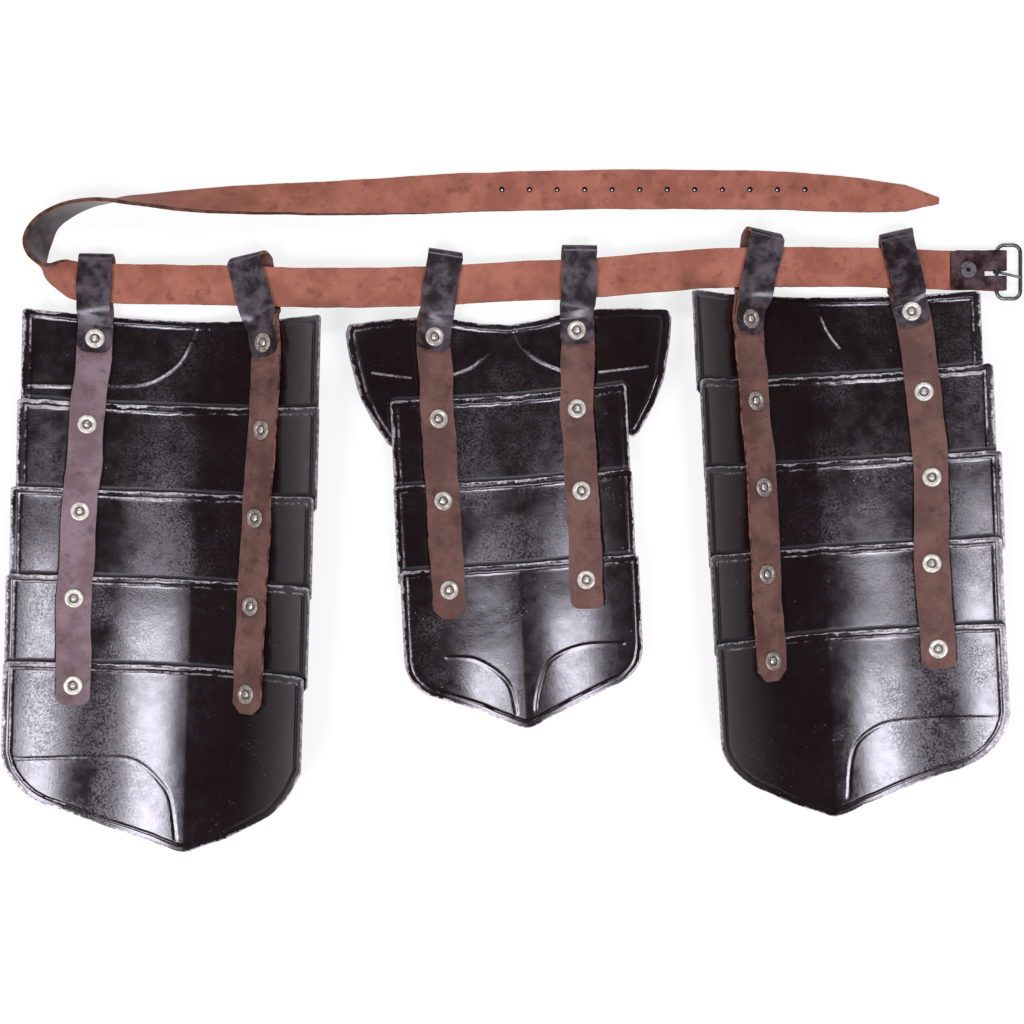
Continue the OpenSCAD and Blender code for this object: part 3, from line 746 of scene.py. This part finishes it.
def chased_lines(t, k, x, y):
    """Distance of each place to the nearest chased line, and how bare the line is there."""
    spots = np.stack([x.ravel(), y.ravel()], axis=1)
    line, line_wear = np.full(y.shape, FAR_OFF), np.zeros(y.shape)
    for route in LINES.get((t.name, k), ()):
        bent = [curve(route, share) for share in np.linspace(0, len(route) - 1, 6 * len(route))]
        away, bare = (v.reshape(y.shape) for v in distance_to(spots, bent))
        line_wear = np.where(away < line, bare, line_wear)
        line = np.minimum(line, away)
    return line, line_wear


def height_over_next(t, k, xs, y):
    """Height of each place over the top edge of the next lame, which covers what is below it."""
    if is_last(t, k):
        return np.full(y.shape, FAR_OFF)
    cover = np.interp(xs, *np.array(chains(t, k + 1)[0], float).T, left=np.nan, right=np.nan)
    tuck = y - (cover + lame_top(t, k + 1))[None, :]
    return np.where(np.isnan(cover)[None, :], FAR_OFF, tuck)


def build_lame(t, k, material):
    settings = bpy.context.scene.armour_plates
    thick, border, height = (v / MM for v in (settings.thickness, settings.border, settings.line_height))
    seed = 11 + 7 * k + 50 * TASSETS.index(t)
    xs, top, ys, rim = lame_pattern(t, k, seed)
    x, y = np.broadcast_to(xs, ys.shape), ys + lame_top(t, k)
    line, line_wear = chased_lines(t, k, x, y)
    tuck = height_over_next(t, k, xs, y)

    relief = height * np.exp(-((rim - border) / BORDER_SPREAD) ** 2)
    relief += height * np.exp(-(line / LINE_SPREAD) ** 2)
    relief += settings.dents / MM * waves(x, y, DENT_LENGTH, seed + 2) * np.clip(rim / 6, 0.3, 1)
    relief += MARK_DEPTH * waves(x, y, MARK_LENGTH, seed + 3)
    relief *= np.clip((tuck + COVERED) / COVERED, 0.0, 1.0)
    relief -= RIM_DROP * np.exp(-(rim / RIM_REACH) ** 2)
    if k:
        relief += TOP_LIFT * np.exp(-((top[None, :] - ys) / TOP_REACH) ** 2)

    cx, cz = flank_centre(t, x)
    r = plate_radius(t, k, y, thick)
    z = cz - np.sqrt(r ** 2 - (x - cx) ** 2)
    towards = np.stack([-(x - cx) / r, 0 * z, (cz - z) / r], axis=-1)
    places = place(t, np.stack([x, y, z], axis=-1) + towards * relief[..., None]) * MM

    outwards = np.clip(-x / 110, 0, 1)
    strength, centre, reach = HAZE[k]
    patch = np.exp(-((x - centre) / reach) ** 2)
    outer_side = np.clip((-x - 78) / 25, 0, 1)
    marks = {
        "rim_mm": rim,
        "line_mm": line,
        "wear": 0.70 + 0.30 * outwards + (0.30 if k else -0.05) * (np.max(y) - y < 8),
        "line_wear": line_wear,
        "tuck_mm": tuck,
        "speckle": np.clip(0.25 + 0.2 * k + 0.4 * outwards, 0, 1),
        "haze": strength * np.clip(0.2 + 0.8 * patch + 0.45 * outer_side, 0, 1),
    }
    side = slice(None, None, t.flip)
    obj, row, column = grid_piece(f"{t.name}_lame_{k + 1}_plate", places[:, side])
    for key, values in marks.items():
        point_value(obj, key, values[:, side][row, column])
    use_materials(obj, material)
    thicken(obj, settings.thickness)
    smooth_shading(obj)
    finish_piece(obj, f"{t.name}_lame_{k + 1}", f"{t.name}_tasset_lame_{k + 1}")


def ribbon(name, stations, thick, columns, edge_seed, cup, sway=0.25, travelled=0.0):
    """A strap on stations: its faces look to its flesh side, and it grows away from it."""
    mids, across, widths = (np.array(values, float) for values in zip(*stations))
    across = unit(across)
    ahead = unit(np.gradient(mids, axis=0))
    flesh = unit(np.cross(ahead, across))
    travel = travelled + np.concatenate([[0], np.cumsum(np.linalg.norm(np.diff(mids, axis=0), axis=1))])
    u = np.linspace(-1, 1, columns)
    u = np.sign(u) * (1 - (1 - np.abs(u)) ** 1.25)
    drift = sway * waves(travel[None, :], 0, 75, edge_seed + 2)
    side_wave = sway * waves(travel[None, :], 40 * (u[:, None] > 0), 36, edge_seed)
    side_wave = side_wave + 0.12 * waves(travel[None, :], 40 * (u[:, None] > 0), 8, edge_seed + 1)
    half = widths[None, :] / 2 * u[:, None] + side_wave * u[:, None] ** 3 + drift
    face = mids[None] + flesh[None] * thick / 2 + across[None] * half[..., None]
    face = face + flesh[None] * cup(travel[None, :], half)[..., None]
    return grid_piece(name, face * MM)[0]


def strap_sizes():
    """Width and thickness of the hanging straps."""
    settings = bpy.context.scene.armour_straps
    return settings.width / MM, settings.thickness / MM


def strap_seat(t):
    """Distance of a strap's underside from the axis of its flank, where its edges rest on the plates."""
    plate = bpy.context.scene.armour_plates.thickness / MM
    reach = FLANK_R - nest_drop(t, plate) - plate - LEATHER_PLAY
    return math.sqrt(reach ** 2 - strap_sizes()[0] ** 2 / 4)


def room_round_belt(belt_x, thick):
    """What a loop clears as it slides: its lowest and highest middle, and its Y at the belt's near edge."""
    waist = bpy.context.scene.armour_waist
    beneath = [run_at(belt_x + slid) for slid in (0, SLIDE_REACH, -SLIDE_REACH)]
    run_z = beneath[0][1]
    rises = [z - run_z for _, z in beneath]
    low_z = run_z + min(rises) - LOOP_PLAY - thick / 2
    high_z = run_z + max(rises) + waist.thickness / MM + LOOP_PLAY + thick / 2
    return low_z, high_z, min(y for y, _ in beneath) - waist.width / MM / 2 - 1.5


def strap_path(t, s):
    """A strap's stations (place, width way, width) from its lower end, and which are at its rivets."""
    wide, thick = strap_sizes()
    r = strap_seat(t) - thick / 2
    r_tab = r - thick - PLY_GAP
    heights = [rivet_y(t, s, k) for k in range(t.lames)]
    y_first = heights[0]
    y_end = heights[-1] - STRAP_END - t.end_extra
    y_tab = y_first - TAB_END
    first = place(t, flank_point(t, strap_x_at(t, s, y_first), y_first, r))
    belt_x = float(first[0]) + t.flip * t.strap_lean[s]
    run_y = run_at(belt_x)[0]
    low_z, high_z, near = room_round_belt(belt_x, thick)
    far = run_y + bpy.context.scene.armour_waist.width / MM / 2 + LOOP_SLACK + t.loop_extra[s]
    loop_r = (high_z - low_z) / 2
    slope = (run_at(belt_x + 10)[1] - run_at(belt_x - 10)[1]) / 20
    tall = far - float(first[1])

    def on_plate(y, radius, lean, twist=0.0):
        """A place on the plates: a strap leans over above its first rivet only, and a tab below it too."""
        share = (y - y_first) / tall
        if radius == r:
            share = max(0.0, share)
        x = strap_x_at(t, s, y) + t.flip * lean * share
        cx, _ = flank_centre(t, x)
        tilt = np.arcsin((x - cx) / FLANK_R)
        along = -t.flip * way(t, [np.cos(tilt), 0.0, np.sin(tilt)])
        turned = float(smooth((y - y_first) / 12)) if radius == r else 1.0
        flat = along + np.array([0.0, lean / tall * turned, 0.0])
        turn = math.radians(twist * float(smooth((y - y_first) / 25)))
        return place(t, flank_point(t, x, y, radius)), unit(flat) + np.array([0.0, 0.0, math.tan(turn)])

    def over_belt(y, z, lean):
        x = float(first[0]) + lean * (y - float(first[1])) / tall
        lift = slope * (x - belt_x)
        return np.array([x, y, z + lift]), unit([-1.0, lean / tall, -slope])

    def end_share(d):
        if t.chamfered[s]:
            return 0.42 + 0.58 * min(d / 8.0, 1)
        return 0.42 + 0.58 * quarter_round(d / 7.5)

    front, back, twist = t.front_lean[s], t.back_lean[s], t.twist[s]
    ends = (0, 0.5, 1.2, 2.2, 3.4, 4.8, 6.4, 8.0)
    ys = [y_end + d for d in ends]
    ys += list(np.arange(y_end + 9.5, heights[-1] - 1, 1.6))
    marks = {}
    for k in range(t.lames - 1, 0, -1):
        marks[k] = len(ys)
        steps = int(round((heights[k - 1] - heights[k]) / 1.8))
        ys += list(np.linspace(heights[k], heights[k - 1], steps, endpoint=False))
    marks[0] = len(ys)
    ys += list(np.linspace(y_first, min(t.rise, y_first + tall - 20), 14))
    stations = [(*on_plate(y, r, back), wide * end_share(y - y_end)) for y in ys]

    guide = [stations[-1][:2]] + [over_belt(y, low_z, back) for y in (near, run_y, far)]
    stations += [(*between(guide, share), wide) for share in np.linspace(0, 3, 22)[1:]]
    for a in np.linspace(-80, 80, 11):
        share = (a + 80) / 160
        c, d = math.cos(math.radians(a)), math.sin(math.radians(a))
        spot, flat = over_belt(far, low_z + loop_r + loop_r * d, back + (front - back) * share)
        stations.append((spot + np.array([0.0, loop_r * c, 0.0]), flat, wide))
    down = min(13.0, 0.42 * (near - float(first[1])))
    landing = on_plate(y_first + down, r_tab, front, twist)
    edge = over_belt(near - 1.4, high_z, front)
    halfway = tuple((a + b) / 2 for a, b in zip(edge, landing))
    guide = [over_belt(far, high_z, front), over_belt(run_y, high_z, front), edge, halfway, landing]
    stations += [(*between(guide, share), wide) for share in np.linspace(0, 2, 16)]
    stations += [(*between(guide, share), wide) for share in np.linspace(2, 4, 9)[1:]]
    ys = list(np.linspace(y_first + down - 1.5, y_tab + 9.5, 9)) + [y_tab + d for d in ends[::-1]]
    for y in ys:
        rounded_end = 0.45 + 0.55 * quarter_round((y - y_tab) / 8.5)
        stations.append((*on_plate(y, r_tab, front, twist), wide * rounded_end))
    return stations, marks


def between(guide, share):
    """Place and width way on a smooth curve through guide stations."""
    return curve([g[0] for g in guide], share), curve([g[1] for g in guide], share)


# Points across a strap and across the belt, and how far a strap strays from its middle
STRAP_COLUMNS, BELT_COLUMNS = 13, 15
STRAP_SWAY = 0.6
# Distances in metres above and below a strap's joint, at a tasset's swing and at a lame's fold; build_strap
# picks them out but bends nothing with them
SWING_BEND = (0.006, 0.007)
FOLD_BEND = (0.010, 0.009)


def build_strap(t, s, leathers):
    """A hanging strap in one piece for each joint that it bends at, cut at its rivets."""
    settings = bpy.context.scene.armour_straps
    stations, marks = strap_path(t, s)
    node = f"{t.name}_tasset_{t.straps[s]}_strap"
    seed = 300 + 20 * TASSETS.index(t) + 7 * s
    steps = np.linalg.norm(np.diff(np.array([c[0] for c in stations]), axis=0), axis=1)
    gone = np.concatenate([[0], np.cumsum(steps)])
    cuts = [0] + [marks[k] for k in range(t.lames - 2, -1, -1)] + [len(stations) - 1]
    for part, (first, last) in enumerate(zip(cuts[:-1], cuts[1:])):
        above = t.lames - 1 - part
        part_name, joint, (over, under) = (
            (f"span_{above}", f"{t.name}_lame_{above + 1}_fold", FOLD_BEND) if above
            else ("loop", f"{t.name}_tasset_swing", SWING_BEND))

        def cup(travel, half, above=above):
            share = (travel - travel[0, 0]) / (travel[0, -1] - travel[0, 0])
            loose = np.sin(share * math.pi) ** 2 if above else 0.2
            ripple = waves(travel, half * 0.5, 24, seed) * (settings.ripple / MM)
            return ripple * loose + 0.05 * waves(travel, half, 6, seed + 3) + 0.25 * loose * (half / 13) ** 2

        obj = ribbon(f"{node}_{part_name}", stations[first:last + 1], settings.thickness / MM,
                     STRAP_COLUMNS, seed, cup, STRAP_SWAY, gone[first])
        use_materials(obj, *leathers)
        thicken_leather(obj, settings.thickness)
        smooth_shading(obj)
        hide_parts(node)
        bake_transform(obj)


# The waist belt, as the part's source sets it out

RUN_X, RUN_STEP = 388.0, 48.0
RUN = (
    (192.2, 1.2), (192.4, 7.6), (192.8, 14), (192.8, 21.5), (192, 28.2), (190.6, 25.4), (188, 20),
    (184.4, 16.3), (182.6, 15.2), (179.8, 15.8), (177.4, 18), (176.4, 22.5), (176.4, 26.5), (178, 25),
    (179.6, 17.5), (181.2, 12.4),
)
# The turn at the left and the upper run: X, Y, lift off the floor, width direction, taper
TURN_RUN = (
    (-284, 179.6, 17.5, 0, -1, 0, 0), (-332, 181.2, 12.4, 0, -1, 0, 0), (-346, 182.8, 10.8, 0, -1, -0.03, 0),
    (-358, 186.5, 4, -0.25, -0.66, -0.7, 0), (-368, 190, 2, -0.33, -0.2, -0.92, 0),
    (-374.5, 195.5, 1, -0.1, 0, -1, 0), (-378, 205, 0.5, 0.25, 0.05, -0.97, 0),
    (-377.5, 215.5, 0, 0.4, -0.08, -0.9, 0), (-370, 229, 0, 0.28, -0.1, -0.95, 0),
    (-355, 239, 0, 0.15, -0.05, -0.98, 0), (-338.5, 244.5, 0, 0.05, 0.03, -1, 0),
    (-323, 246.5, 0, -0.1, 0.12, -0.99, 0), (-306, 247, 0, -0.17, 0.3, -0.93, 0),
    (-286, 246.7, 0, -0.18, 0.43, -0.88, 0), (-262, 246.8, 0, -0.18, 0.6, -0.78, 0),
    (-228, 247.5, 0, -0.16, 0.74, -0.65, 0), (-192, 248.4, 0, -0.1, 0.82, -0.56, 0),
    (-147, 249.7, 0, -0.05, 0.9, -0.44, 0), (-97, 252, 0, 0, 0.96, -0.26, 0), (-58, 254, 0, 0, 1, -0.1, 0),
    (-28, 255.5, 0, 0, 1, 0, 0), (18, 257, 0, 0, 1, 0, 0), (88, 257.8, 0, 0, 1, 0, 0),
    (158, 257.6, 0, 0, 1, 0, 0), (218, 256.4, 0, 0, 1, 0, 1), (270, 253.4, 0, 0, 1, 0, 3.5),
    (308, 250.8, 0, 0, 1, 0, 9.5), (316, 250.2, 0, 0, 1, 0, 12.5), (339, 248.8, 0, 0, 1, 0, 26),
)
HOLES = [(-10.0 + 22.0 * j, 257.5) for j in range(12)]
BEND_X, BAR_X, FOLD_LEN = 387.0, 384.0, 46.0
WIRE_D, FOLD_PLAY, SLOT_W, SLOT_BACK, SLOT_SHIFT = 3.2, 0.4, 4.6, 10.5, 1.3
# How far a hole is left open at its far side: radius in millimetres. The hole narrows to this so that its
# dark wall, as painted shade, fills most of it
HOLE_CLOSED = 0.3
# Which of the belt's materials the walls of its holes and slot have: dark cut leather, darkened further as
# painted shade inside them
HOLE_WALL_AND_SHADE = 3


def run_at(x):
    """Middle in Y and height of the underside of the belt's lower run at x."""
    y, z = curve(RUN, (RUN_X - x) / RUN_STEP)
    return float(y), float(z)


def belt_path(wide, thick):
    bend_r = WIRE_D / 2 + FOLD_PLAY + thick / 2
    south = np.array([0.0, -1.0, 0.0])

    def mid(x, lift):
        y, z = run_at(x)
        return np.array([x, y, z + thick / 2 + lift])

    def fold_lift(x):
        flat = thick + PLY_GAP
        return flat + (2 * bend_r - flat) * float(smooth((x - BAR_X + 14) / 11))

    end = BEND_X + bend_r + thick / 2 - FOLD_LEN
    stations = []
    for d in (0, 0.5, 1.1, 1.8, 2.6, 3.5, 4.6, 6, 8):
        cut = 8 * (1 - quarter_round(d / 7)) * 0.8
        stations.append((mid(end + d, fold_lift(end + d)), south, wide - cut))
    for x in np.arange(end + 10, BEND_X - 0.5, 1.5):
        stations.append((mid(x, fold_lift(x)), south, wide))
    centre = mid(BEND_X, bend_r)
    for a in np.arange(90, -91, -15):
        c, d = math.cos(math.radians(a)), math.sin(math.radians(a))
        stations.append((centre + bend_r * np.array([c, 0, d]), south, wide))
    for x in np.arange(BEND_X - 2, -334, -3.2):
        stations.append((mid(x, 0), south, wide))
    for i in range(1, len(TURN_RUN) - 1):
        length = math.dist(TURN_RUN[i][:2], TURN_RUN[i + 1][:2])
        steps = max(int(length / 2.6), 3)
        for j in range(steps):
            stations.append(turn_place(curve(TURN_RUN, i + j / steps), wide, thick))
    stations.append(turn_place(TURN_RUN[-1], wide, thick))
    return stations


def turn_place(v, wide, thick):
    d = unit(v[3:6])
    z = v[2] + wide / 2 * abs(d[2]) + thick / 2 * math.sqrt(max(1 - d[2] ** 2, 0))
    return np.array([v[0], v[1], z]), d, wide - v[6]


def build_belt(leathers):
    settings = bpy.context.scene.armour_waist
    wide, thick = settings.width / MM, settings.thickness / MM
    stations = belt_path(wide, thick)

    def cup(travel, half):
        return 0.12 * waves(travel, half, 38, 71) + 0.05 * waves(travel, half, 8, 72)

    obj = ribbon("belt_leather_strap", stations, thick, BELT_COLUMNS, 60, cup)
    use_materials(obj, *leathers)
    thicken_leather(obj, settings.thickness)
    bar_y, bar_z = run_at(BAR_X)[0] - 1, run_at(BEND_X)[1] + thick + WIRE_D / 2 + FOLD_PLAY
    clear_selection()
    cutters = []
    for x, y in HOLES:
        bpy.ops.mesh.primitive_cone_add(
            vertices=24, radius1=HOLE_CLOSED * MM, radius2=settings.hole / 2, depth=settings.thickness * 1.4,
            location=(x * MM, y * MM, settings.thickness / 2))
        cutters.append(bpy.context.object)
        clear_selection()
    slot_len = BEND_X + thick * 2 + 6 - BAR_X + SLOT_BACK
    bpy.ops.mesh.primitive_cube_add(
        size=1, location=((BAR_X - SLOT_BACK + slot_len / 2) * MM, (bar_y - SLOT_SHIFT) * MM, bar_z * MM),
        scale=(slot_len * MM, SLOT_W * MM, 2 * bar_z * MM))
    cutters.append(bpy.context.object)
    for cutter in cutters:
        use_materials(cutter, *leathers)
        cutter.data.polygons.foreach_set("material_index", [HOLE_WALL_AND_SHADE] * len(cutter.data.polygons))
    cutter = joined(cutters)
    apply_modifier(obj, "BOOLEAN", operation="DIFFERENCE", object=cutter, solver="EXACT")
    delete(cutter)
    smooth_shading(obj)
    finish_piece(obj, "belt", "belt_strap")


# Radius and height of a washer from its hole over its face to its underside, and the radius of its dish,
# painted dark for dirt and as painted shade in its hollow
DISH_R = 3.7
WASHER_PROFILE = (
    (2.15, 0.05), (2.15, 0.72), (3.0, 0.76), (3.75, 0.84), (4.2, 1.12), (4.8, 1.45), (5.5, 1.62), (6.3, 1.66),
    (7.0, 1.5), (7.45, 1.05), (7.66, 0.5), (7.4, 0.12), (6.6, 0.0),
)


def turned_washer(metal, dish_dirt_and_shade):
    """One dished washer, turned about Z, to be copied to each rivet."""
    clear_selection()
    bpy.ops.mesh.primitive_circle_add(vertices=40, radius=WASHER_PROFILE[0][0] * MM, fill_type="NOTHING",
                                      location=(0, 0, WASHER_PROFILE[0][1] * MM))
    obj = bpy.context.object
    bpy.ops.object.transform_apply(location=True)
    bpy.ops.object.mode_set(mode="EDIT")
    bpy.ops.mesh.select_all(action="SELECT")
    for (r0, h0), (r1, h1) in zip(WASHER_PROFILE[:-1], WASHER_PROFILE[1:]):
        bpy.ops.mesh.extrude_edges_move(TRANSFORM_OT_translate={"value": (0, 0, (h1 - h0) * MM)})
        bpy.ops.transform.resize(value=(r1 / r0, r1 / r0, 1))
    bpy.ops.mesh.select_all(action="SELECT")
    bpy.ops.mesh.normals_make_consistent(inside=False)
    bpy.ops.object.mode_set(mode="OBJECT")
    use_materials(obj, metal, dish_dirt_and_shade)
    # The dish inside DISH_R takes the dark material: dirt and painted shade in the hollow
    for polygon in obj.data.polygons:
        spots = [obj.data.vertices[i].co for i in polygon.vertices]
        radius = sum(math.hypot(v.x, v.y) for v in spots) / len(spots)
        polygon.material_index = 1 if radius < DISH_R * MM else 0
    smooth_shading(obj, 50)
    return obj


def build_washers(t, k, master):
    """A washer on the strap at each of a lame's two rivets, both in one piece."""
    plies = 2 if k == 0 else 1
    r = strap_seat(t) - plies * strap_sizes()[1] - (plies - 1) * PLY_GAP - LEATHER_PLAY
    co = np.array([v.co for v in master.data.vertices]) / MM
    pair = []
    for s in (0, 1):
        x, y = t.strap_x[s][k], rivet_y(t, s, k)
        cx, cz = (float(v) for v in flank_centre(t, x))
        lean = math.asin((x - cx) / FLANK_R)
        out = np.array([-math.sin(lean), 0.0, math.cos(lean)])
        flat = np.array([math.cos(lean), 0.0, math.sin(lean)])
        base = np.array([cx, y, cz]) - out * r
        local = co[:, :1] * t.flip * flat + co[:, 1:2] * np.array([0.0, 1.0, 0.0]) + co[:, 2:] * out
        obj = bpy.data.objects.new(f"{t.name}_lame_{k + 1}_washer_pair", master.data.copy())
        bpy.context.scene.collection.objects.link(obj)
        obj.data.vertices.foreach_set("co", (place(t, base + local) * MM).astype(np.float32).ravel())
        obj.data.update()
        point_value(obj, "tarnish", np.full(len(co), t.tarnish[s]))
        pair.append(obj)
    node = f"{t.name}_tasset_lame_{k + 1}_washers"
    finish_piece(joined(pair), f"{t.name}_lame_{k + 1}", node)


# Operators

# The camera looks straight down, in metres, with its lens and sensor in millimetres
CAMERA_PLACE = (-0.002, 0.0, 1.4)
LENS, SENSOR = 61.52, 36
FLOOR_SIDE = 14
# Soft lamps: name, X, Y, width, depth and share of the softbox power
SOFTBOX_HEIGHT = 1.8
SOFTBOX_COLOUR = (0.97, 0.97, 1.0)
SOFTBOXES = (
    ("softbox_left", -0.785, -0.80, 0.56, 0.90, 1.0),
    ("softbox_right", 0.585, -0.80, 0.50, 0.90, 0.9),
    ("softbox_back", 0.0, 1.35, 1.9, 0.5, 0.9),
)
# How much stronger the room's light is at the horizon, and how high up that ends
HORIZON_LIGHT, HORIZON_TOP = 0.5, 0.42


class ARMOUR_OT_stage(bpy.types.Operator):
    """Set the camera, the floor, the soft lamps and the room's light"""
    bl_idname = "armour_belt.stage"
    bl_label = "Camera, Floor and Lamps"

    def execute(self, context):
        scene = context.scene
        settings = scene.armour_stage
        clear_selection()
        bpy.ops.object.camera_add(location=CAMERA_PLACE, rotation=(0, 0, 0))
        camera = context.object
        camera.data.lens = LENS
        camera.data.sensor_width = SENSOR
        camera.data.clip_end = 50
        scene.camera = camera
        scene.view_settings.view_transform = "Standard"
        clear_selection()
        bpy.ops.mesh.primitive_plane_add(size=FLOOR_SIDE, location=(0, 0, 0))
        floor = context.object
        floor.name = "studio_floor"
        use_materials(floor, floor_white())
        for name, x, y, width, depth, power in SOFTBOXES:
            clear_selection()
            bpy.ops.object.light_add(type="AREA", location=(x, y, SOFTBOX_HEIGHT))
            lamp = context.object
            lamp.name = name
            lamp.data.shape = "RECTANGLE"
            lamp.data.size, lamp.data.size_y = width, depth
            lamp.data.energy = settings.softbox * power
            lamp.data.color = SOFTBOX_COLOUR
        scene.world = bpy.data.worlds.new("studio_room")
        room_light(scene.world, settings.room)
        return {"FINISHED"}


class ARMOUR_OT_lames(bpy.types.Operator):
    """Shape the fourteen steel lames with their chased borders, dents and worn edges"""
    bl_idname = "armour_belt.lames"
    bl_label = "Steel Lames"

    def execute(self, context):
        material = blackened_steel()
        for t, k in all_lames():
            build_lame(t, k, material)
        return {"FINISHED"}


class ARMOUR_OT_straps(bpy.types.Operator):
    """Lay the six hanging straps over the lames and round the belt"""
    bl_idname = "armour_belt.straps"
    bl_label = "Hanging Straps"

    def execute(self, context):
        # The strap grain's lighter colour is rubbed wear and partly painted sheen
        grain = grain_leather("strap_grain", "221719", "5d515b")
        edge = edge_leather("strap_cut_edge", "9a6f60", "4a2d29")
        plum = flesh_leather("strap_flesh_plum", "4b383b", "765d64", "957e88")
        red = flesh_leather("strap_flesh_red", "33201e", "5f3f3a", "7d5a54")
        for t in TASSETS:
            for s in (0, 1):
                flesh = plum if (t.name, s) == ("left", 0) else red
                build_strap(t, s, (flesh, grain, edge))
        return {"FINISHED"}


class ARMOUR_OT_belt(bpy.types.Operator):
    """Shape the waist belt with its fold, turn, prong holes and slot"""
    bl_idname = "armour_belt.belt"
    bl_label = "Waist Belt"

    def execute(self, context):
        flesh = flesh_leather("belt_flesh", "6d3c32", "9b5a49", "b77361")
        grain = grain_leather("belt_grain", "2c1a1b", "68535a", shine=0.4)
        edge = edge_leather("belt_cut_edge", "74493c", "46291f")
        # Very dark wall of the holes and slot: cut leather, darkened as painted shade inside them
        hole_wall_and_shade = edge_leather("belt_punched_wall", "3d1f19", "1c0f0d")
        build_belt((flesh, grain, edge, hole_wall_and_shade))
        return {"FINISHED"}


class ARMOUR_OT_washers(bpy.types.Operator):
    """Turn a dished washer for each rivet of each lame"""
    bl_idname = "armour_belt.washers"
    bl_label = "Rivet Washers"

    def execute(self, context):
        metal = bright_metal("washer_steel", "efe8e0", "b5a89e", 0.30, 0.5, metal=0.4, tarnish="6f5c58")
        # Dark metal for the washers' dishes: dirt and painted shade
        dish_dirt_and_shade = bright_metal("washer_grime", "4a4240", "211b1b", 0.5, 0.7, metal=0.4)
        master = turned_washer(metal, dish_dirt_and_shade)
        for t, k in all_lames():
            build_washers(t, k, master)
        delete(master)
        return {"FINISHED"}


class ARMOUR_OT_fittings(bpy.types.Operator):
    """Give the rivets, the buckle and the fold rivet their finishes"""
    bl_idname = "armour_belt.fittings"
    bl_label = "Rivets and Buckle"

    def execute(self, context):
        rivet = bright_metal("rivet_steel", "d8d0cc", "8f8683", 0.3, 0.45, metal=0.7)
        wire = bright_metal("buckle_wire", "8b888f", "3d3b40", 0.18, 0.36, metal=0.9)
        dark = bright_metal("dark_rivet", "a09aa2", "59545b", 0.28, 0.48, metal=0.7)
        for t, k in all_lames():
            use_materials(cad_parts[f"{t.name}_tasset_lame_{k + 1}_rivets"], rivet)
        for name, material in (("buckle_frame", wire), ("buckle_prong", wire), ("buckle_rivet", dark)):
            use_materials(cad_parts[name], material)
        return {"FINISHED"}


class ARMOUR_PT_panel(bpy.types.Panel):
    """Lists the pieces of the armour belt and their sizes"""
    bl_idname = "ARMOUR_PT_panel"
    bl_label = "Armour Belt"
    bl_space_type = "VIEW_3D"
    bl_region_type = "UI"
    bl_category = "Armour Belt"

    def draw(self, context):
        layout = self.layout
        groups = (
            (context.scene.armour_stage, ("armour_belt.stage",)),
            (context.scene.armour_plates, ("armour_belt.lames", "armour_belt.washers")),
            (context.scene.armour_straps, ("armour_belt.straps",)),
            (context.scene.armour_waist, ("armour_belt.belt", "armour_belt.fittings")),
        )
        for settings, operators in groups:
            box = layout.box()
            for key in settings.__annotations__:
                box.prop(settings, key)
            for operator in operators:
                box.operator(operator)


CLASSES = (
    ArmourPlateSettings, ArmourStrapSettings, ArmourWaistSettings, ArmourStageSettings,
    ARMOUR_OT_stage, ARMOUR_OT_lames, ARMOUR_OT_straps, ARMOUR_OT_belt, ARMOUR_OT_washers,
    ARMOUR_OT_fittings, ARMOUR_PT_panel,
)


def register():
    for cls in CLASSES:
        bpy.utils.register_class(cls)
    bpy.types.Scene.armour_plates = bpy.props.PointerProperty(type=ArmourPlateSettings)
    bpy.types.Scene.armour_straps = bpy.props.PointerProperty(type=ArmourStrapSettings)
    bpy.types.Scene.armour_waist = bpy.props.PointerProperty(type=ArmourWaistSettings)
    bpy.types.Scene.armour_stage = bpy.props.PointerProperty(type=ArmourStageSettings)


def unregister():
    for key in ("armour_plates", "armour_straps", "armour_waist", "armour_stage"):
        delattr(bpy.types.Scene, key)
    for cls in reversed(CLASSES):
        bpy.utils.unregister_class(cls)


def main():
    register()
    bpy.ops.armour_belt.stage()
    bpy.ops.armour_belt.lames()
    bpy.ops.armour_belt.washers()
    bpy.ops.armour_belt.straps()
    bpy.ops.armour_belt.belt()
    bpy.ops.armour_belt.fittings()
    bpy.context.view_layer.update()


if __name__ == "__main__":
    main()
